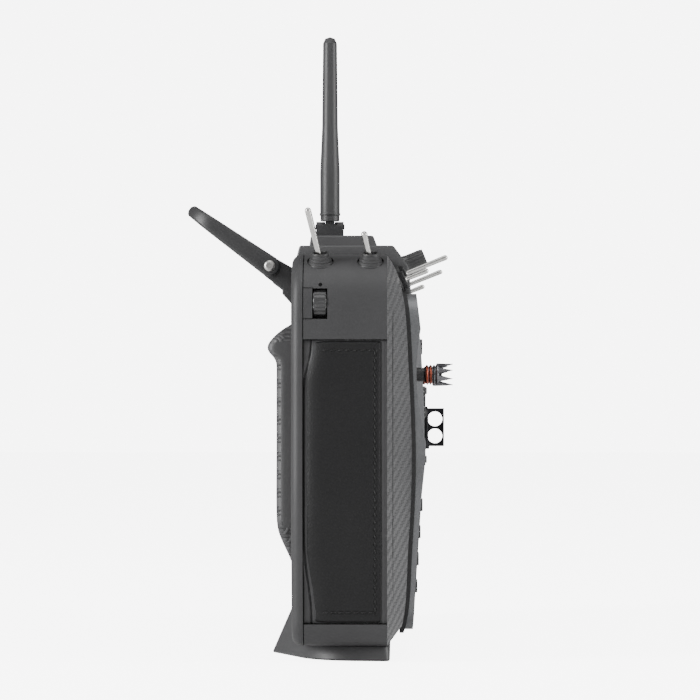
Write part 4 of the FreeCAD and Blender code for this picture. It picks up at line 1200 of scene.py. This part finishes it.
class TRANSMITTER_OT_face_trim(bpy.types.Operator):
    """Display bezel, gimbal rings, key marks, accent lines and speaker slots"""
    bl_idname = "transmitter.face_trim"
    bl_label = "Face trim"

    def execute(self, context):
        face = context.scene.transmitter_face
        bezel = face.bezel / MM
        bm = bmesh.new()
        low, high = cad_box("screen_lens")
        middle, half_x, half_z = (low + high) / 2, (high.x - low.x) / 2, (high.z - low.z) / 2
        pairs = frame_pairs(0, middle.z, half_x + bezel * 0.3, half_z + bezel * 0.3, 3.0, bezel)
        add_strip(bm, pairs, lambda z: face_depth(z) + 1.2, lambda z: face_depth(z) - 0.45)
        outward(bm)
        bevel(bm, sharp_edges(bm, 50), 0.25, 2)
        finish_piece(bm, "display_bezel", "polycarbonate_keys_satin", slot="trim_plastic")

        for word, side in SIDES.items():
            origin = Vector((side * STICK_X, 0, STICK_Z))
            # Stepped trim ring on the funnel's mouth.
            ring = [(28.6, 33.1), (30.4, 33.1), (30.4, 33.6), (30.1, 33.9), (29.2, 33.9), (28.9, 33.6),
                    (28.6, 33.1)]
            turned(f"gimbal_ring_{word}", [ring], origin, -Y_AXIS, 96, "aluminium_anodised_copper",
                   slot="trim_plastic")
            steps = [[(radius + r, depth + h) for r, h in STEP]
                     for radius, depth in ((24.6, 32.75), (22.2, 32.2), (19.8, 31.7))]
            turned(f"gimbal_steps_{word}", steps, origin, -Y_AXIS, 72, "abs_moulded_fine", slot="trim_plastic")
            # Four screws that hold the gimbal.
            bm = bmesh.new()
            for i in range(4):
                turn = math.pi / 4 + i * math.pi / 2
                at = origin + Vector((26.3 * math.cos(turn), 0, 26.3 * math.sin(turn)))
                add_socket_head(bm, at - Y_AXIS * 32.75, -Y_AXIS, 1.7, 0.9, 0.8)
            outward(bm)
            finish_piece(bm, f"gimbal_screws_{word}", "steel_black_oxide", slot="black_screw")

        # Marks moulded beside the trims: short ticks, longer in the middle.
        bm = bmesh.new()
        mark = face.icon / MM
        for side in SIDES.values():
            for i in range(-3, 4):
                reach = 1.9 if i == 0 else 1.1
                self.tick(bm, side * 22.2, 108 + i * 2.3, reach, mark)
                self.tick(bm, side * 30 + i * 2.3, 87.2, mark, reach)
        for i in range(4):
            self.tick(bm, -78.5, 63.6 - 11.7 * i, 2.0, mark)
        for z in (63.6, 36.4):
            self.tick(bm, 76.5, z, 2.0, mark)
        finish_piece(bm, "key_marks", "polycarbonate_legend_white", slot="face_plastic")

        # Raised accent lines that run from the dishes to the display.
        bm = bmesh.new()
        for side in SIDES.values():
            path = [(side * 55.0, 78.5), (side * 58.7, 74.5), (side * 58.7, 13.6)]
            self.raised_line(bm, path, face.groove / MM)
            path = [(side * 27.0, 141.5), (side * 33.0, 147.0), (side * 70.0, 150.6)]
            self.raised_line(bm, path, face.groove / MM)
        finish_piece(bm, "face_accent_lines", "polycarbonate_keys_satin", slot="face_plastic")

        # Speaker slots outside the left and right key columns: black bars on the face, painted shade standing
        # in for the openings.
        bm = bmesh.new()
        for side in SIDES.values():
            for i in range(5):
                self.tick(bm, side * 90.0, 34 + i * 3.4, 7.5, 0.9, 0.12)
        finish_piece(bm, "speaker_slots", "elastomer_seal_matt", slot="face_plastic")
        return {"FINISHED"}

    def tick(self, bm, x, z, half_x, half_z, proud=0.08):
        """Small flat bar that lies on the face."""
        made = bmesh.ops.create_grid(bm, x_segments=2, y_segments=1, size=0.5)["verts"]
        half_z = max(half_z / 2, 0.1) if half_z < 1 else half_z
        half_x = max(half_x / 2, 0.1) if half_x < 1 else half_x
        for vert in made:
            px, pz = x + 2 * vert.co.x * half_x, z + 2 * vert.co.y * half_z
            vert.co = Vector((px, face_depth(pz) - proud, pz))
        faces = list({f for v in made for f in v.link_faces})
        bmesh.ops.recalc_face_normals(bm, faces=faces)
        if faces[0].normal.y > 0:
            bmesh.ops.reverse_faces(bm, faces=faces)
        push_out(bm, faces, Vector((0, -0.12, 0)))

    def raised_line(self, bm, path, width):
        """Low rounded rib along straight runs on the face."""
        for (x0, z0), (x1, z1) in zip(path, path[1:]):
            run = Vector((x1 - x0, 0, z1 - z0))
            steps = max(2, int(run.length / 4))
            across = run.cross(Y_AXIS).normalized() * width / 2
            rows = []
            for i in range(steps + 1):
                at = Vector((x0, 0, z0)) + run * i / steps
                row = []
                for part, proud in ((-1, -0.05), (-0.6, 0.2), (0.6, 0.2), (1, -0.05)):
                    point = at + across * part
                    point.y = face_depth(point.z) - proud
                    row.append(bm.verts.new(point))
                rows.append(row)
            for first, second in zip(rows, rows[1:]):
                for a, b, c, d in zip(first, first[1:], second[1:], second):
                    bm.faces.new((a, b, c, d))
            bmesh.ops.recalc_face_normals(bm, faces=bm.faces)


HANDLE_PIVOT = Vector((0, 27.2, 167.7))
LUG_FACE_X = 55.3
REAR_SCREWS = ((70.0, 158.0), (130.0, 120.0), (76.0, 30.0))


def add_socket_head(bm, seat, axis, radius, height, socket):
    """Button head with a six-sided socket, standing on its seat."""
    axis = Vector(axis).normalized()
    profile = [(radius, 0.0), (radius * 0.98, height * 0.35), (radius * 0.86, height * 0.72),
               (radius * 0.66, height * 0.94), (socket * 1.25, height)]
    add_spin(bm, profile, seat, axis, 24)
    turn = Z_AXIS.rotation_difference(axis).to_matrix()
    rims = []
    circles = ((height, 24, socket * 1.25), (height - 0.05, 6, socket), (height * 0.3, 6, socket))
    for depth, segments, wide in circles:
        verts = bmesh.ops.create_circle(bm, cap_ends=depth < height * 0.5, segments=segments,
                                        radius=wide)["verts"]
        bmesh.ops.rotate(bm, cent=(0, 0, 0), matrix=turn, verts=verts)
        bmesh.ops.translate(bm, vec=seat + axis * depth, verts=verts)
        rims.append(list({e for v in verts for e in v.link_edges}))
    bmesh.ops.bridge_loops(bm, edges=rims[0] + rims[1])
    bmesh.ops.bridge_loops(bm, edges=rims[1] + rims[2])


class TRANSMITTER_OT_screws(bpy.types.Operator):
    """Button-head screws at the handle's pivots and in the rear shell"""
    bl_idname = "transmitter.screws"
    bl_label = "Screws"

    def execute(self, context):
        bm = bmesh.new()
        tip = cad_box("handle_screws")[1].x
        for side in SIDES.values():
            out = X_AXIS * side
            add_socket_head(bm, HANDLE_PIVOT + out * LUG_FACE_X, out, 2.6, tip - LUG_FACE_X, 1.15)
            shank = [(0.0, 44.6), (1.45, 44.6), (1.45, 55.35), (0.0, 55.35)]
            add_spin(bm, shank, HANDLE_PIVOT, out, 20)
        outward(bm)
        finish_piece(bm, "handle_pivot_screws", "steel_stainless_blasted", "handle",
                     replaces=["handle_screws"], slot="screw_steel")
        bm = bmesh.new()
        for side in SIDES.values():
            for x, z in REAR_SCREWS:
                add_socket_head(bm, Vector((side * x, 13.8, z)), Y_AXIS, 2.6, 1.35, 1.1)
        outward(bm)
        finish_piece(bm, "rear_case_screws", "steel_black_oxide", replaces=["case_screws"],
                     slot="black_screw")
        return {"FINISHED"}


# ---------------------------------------------------------------- back of the case

class TransmitterBack(bpy.types.PropertyGroup):
    """Covers and vents on the back."""
    door_width: size("Door width", "Width of the cell door", 92)
    cover_width: size("Bay cover width", "Width of the radio bay's cover", 62)
    vent_pitch: size("Vent pitch", "Distance from one vent slot to the next", 4.2)
    relief: size("Relief", "How far the covers stand off the back", 1.3)


DOOR_Z = 52
LATCH_Z = 82.0
BAY_Z = 119
CATCH_X = 26.6


def add_cover(bm, x, z, half_x, half_z, radius, relief, edge=0.9):
    """Rounded cover that stands off the back, with an eased rim."""
    outline = rounded_box(x, z, half_x, half_z, radius, 8)
    face = bm.faces.new([bm.verts.new((p.x, BACK_Y + 0.02, p.y)) for p in outline])
    top = push_out(bm, [face], Vector((0, relief, 0)))
    bmesh.ops.recalc_face_normals(bm, faces=bm.faces)
    bevel(bm, edges_among(bm, top), edge)


def add_bar(bm, x, z, half_x, half_z, low, high, edge=0.3):
    """Rounded bar that points backwards from the back face."""
    made = bmesh.ops.create_cube(bm, size=2.0)["verts"]
    for vert in made:
        vert.co = Vector((x + vert.co.x * half_x, (low + high) / 2 + vert.co.y * (high - low) / 2,
                          z + vert.co.z * half_z))
    bevel(bm, edges_among(bm, made), edge, 2)


class TRANSMITTER_OT_back_covers(bpy.types.Operator):
    """Cell door with its latch, radio bay cover with vents, and ribs on the back"""
    bl_idname = "transmitter.back_covers"
    bl_label = "Back covers"

    def execute(self, context):
        back = context.scene.transmitter_back
        relief = back.relief / MM
        pitch = back.vent_pitch / MM
        face = BACK_Y + relief

        bm = bmesh.new()
        add_cover(bm, 0, DOOR_Z, back.door_width / MM / 2, 27, 6, relief)
        finish_piece(bm, "cell_door", "abs_moulded_grained", slot="shell_plastic")
        bm = bmesh.new()
        for i in range(9):
            add_bar(bm, 0, 66.0 - 3.0 * i, 15 - 1.1 * abs(i - 4), 0.75, BACK_Y, face + 0.7, 0.35)
        finish_piece(bm, "cell_door_ribs", "abs_moulded_grained", slot="shell_plastic")
        bm = bmesh.new()
        add_cover(bm, 0, LATCH_Z, 13, 3.4, 2.4, relief + 1.1, 0.7)
        for i in range(-3, 4):
            add_bar(bm, i * 2.8, LATCH_Z, 0.5, 2.0, face + 0.6, face + 1.5, 0.2)
        finish_piece(bm, "cell_door_latch", "nylon_moulded_satin", slot="shell_plastic")

        bm = bmesh.new()
        add_cover(bm, 0, BAY_Z, back.cover_width / MM / 2, 27, 5, relief)
        finish_piece(bm, "radio_bay_cover", "abs_moulded_fine", slot="shell_plastic")
        # Vents: black bars across the bay cover, painted shade standing in for the openings.
        bm = bmesh.new()
        for i in range(9):
            add_bar(bm, 0, BAY_Z + (i - 4) * pitch, 20, 1.0, face - 0.3, face + 0.12, 0.1)
        finish_piece(bm, "radio_bay_vents", "elastomer_seal_matt", slot="shell_plastic")
        bm = bmesh.new()
        for side in SIDES.values():
            add_cover(bm, side * CATCH_X, BAY_Z, 2.2, 8.0, 1.6, relief + 0.8, 0.6)
            for i in range(-3, 4):
                add_bar(bm, side * CATCH_X, BAY_Z + i * 2.0, 1.5, 0.35, face + 0.4, face + 1.1, 0.15)
        finish_piece(bm, "radio_bay_catches", "nylon_moulded_satin", slot="shell_plastic")

        # Sound slots, as black bars that are painted shade standing in for the openings, and an upright rib on
        # each side of the bay.
        bm = bmesh.new()
        for side in SIDES.values():
            for i in range(7):
                reach = 4.6 - 0.5 * abs(i - 3)
                add_bar(bm, side * (47 + i * 3.6), 150.0, 0.75, reach, BACK_Y - 0.3, BACK_Y + 0.12, 0.1)
        finish_piece(bm, "sound_slots", "elastomer_seal_matt", slot="shell_plastic")
        bm = bmesh.new()
        for side in SIDES.values():
            add_bar(bm, side * 58.0, 86, 0.9, 62, BACK_Y - 0.2, BACK_Y + 0.6, 0.4)
        finish_piece(bm, "back_ribs", "abs_moulded_grained", slot="shell_plastic")

        # Rubber pads under the foot.
        bm = bmesh.new()
        for side in SIDES.values():
            for y in (-18.0, 14.0):
                pad = [(0.0, 0.0), (4.6, 0.0), (5.0, 0.25), (5.0, 0.9), (0.0, 0.9)]
                add_spin(bm, pad, Vector((side * 62, y, 0.02)), Z_AXIS, 32)
        outward(bm)
        finish_piece(bm, "foot_pads", "elastomer_seal_matt", slot="grip_rubber")
        return {"FINISHED"}


class TRANSMITTER_OT_antenna_trim(bpy.types.Operator):
    """Collar ring and pivot caps of the antenna"""
    bl_idname = "transmitter.antenna_trim"
    bl_label = "Antenna trim"

    def execute(self, context):
        foot = centre("antenna_rod")
        ring = [(4.2, 192.55), (4.62, 192.6), (4.75, 192.8), (4.75, 193.5), (4.6, 193.75), (4.2, 193.8),
                (4.2, 192.55)]
        turned("antenna_collar", [ring], Vector((foot.x, foot.y, 0)), Z_AXIS, 48, "nylon_moulded_satin",
               "antenna_rod", slot="antenna_rubber")
        bm = bmesh.new()
        for sign in (-1, 1):
            add_socket_head(bm, Vector((0, foot.y + sign * 6.15, 187.5)), Y_AXIS * sign, 1.3, 0.5, 0.5)
        outward(bm)
        finish_piece(bm, "antenna_pivot_caps", "steel_black_oxide", "antenna_swivel", slot="trim_plastic")
        return {"FINISHED"}


# ---------------------------------------------------------------- add-on

OPERATORS = [
    TRANSMITTER_OT_finishes,
    TRANSMITTER_OT_side_grips,
    TRANSMITTER_OT_rear_grips,
    TRANSMITTER_OT_stick_ends,
    TRANSMITTER_OT_switch_boots,
    TRANSMITTER_OT_knobs,
    TRANSMITTER_OT_wheels,
    TRANSMITTER_OT_body_trim,
    TRANSMITTER_OT_keys,
    TRANSMITTER_OT_face_trim,
    TRANSMITTER_OT_screws,
    TRANSMITTER_OT_back_covers,
    TRANSMITTER_OT_antenna_trim,
    TRANSMITTER_OT_stage,
]
GROUPS = {
    "transmitter_tints": TransmitterTints,
    "transmitter_grips": TransmitterGrips,
    "transmitter_controls": TransmitterControls,
    "transmitter_edges": TransmitterEdges,
    "transmitter_face": TransmitterFace,
    "transmitter_back": TransmitterBack,
    "transmitter_stage": TransmitterStage,
}


class TRANSMITTER_PT_panel(bpy.types.Panel):
    """Settings and build steps of the transmitter"""
    bl_idname = "TRANSMITTER_PT_panel"
    bl_label = "Transmitter"
    bl_space_type = "VIEW_3D"
    bl_region_type = "UI"
    bl_category = "Transmitter"

    def draw(self, context):
        for operator in OPERATORS:
            self.layout.operator(operator.bl_idname)
        for name, group in GROUPS.items():
            box = self.layout.box()
            for key in group.__annotations__:
                box.prop(getattr(context.scene, name), key)


def register():
    for item in [*GROUPS.values(), *OPERATORS, TRANSMITTER_PT_panel]:
        bpy.utils.register_class(item)
    for name, group in GROUPS.items():
        setattr(bpy.types.Scene, name, PointerProperty(type=group))


def unregister():
    for name in GROUPS:
        delattr(bpy.types.Scene, name)
    for item in reversed([*GROUPS.values(), *OPERATORS, TRANSMITTER_PT_panel]):
        bpy.utils.unregister_class(item)


def corners(bounds):
    return [list(corner) for corner in bounds]


def main():
    register()
    cad_size = corners(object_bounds())
    for operator in OPERATORS:
        group, step = operator.bl_idname.split(".")
        getattr(getattr(bpy.ops, group), step)()
    visual_size = corners(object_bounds())


if __name__ == "__main__":
    main()
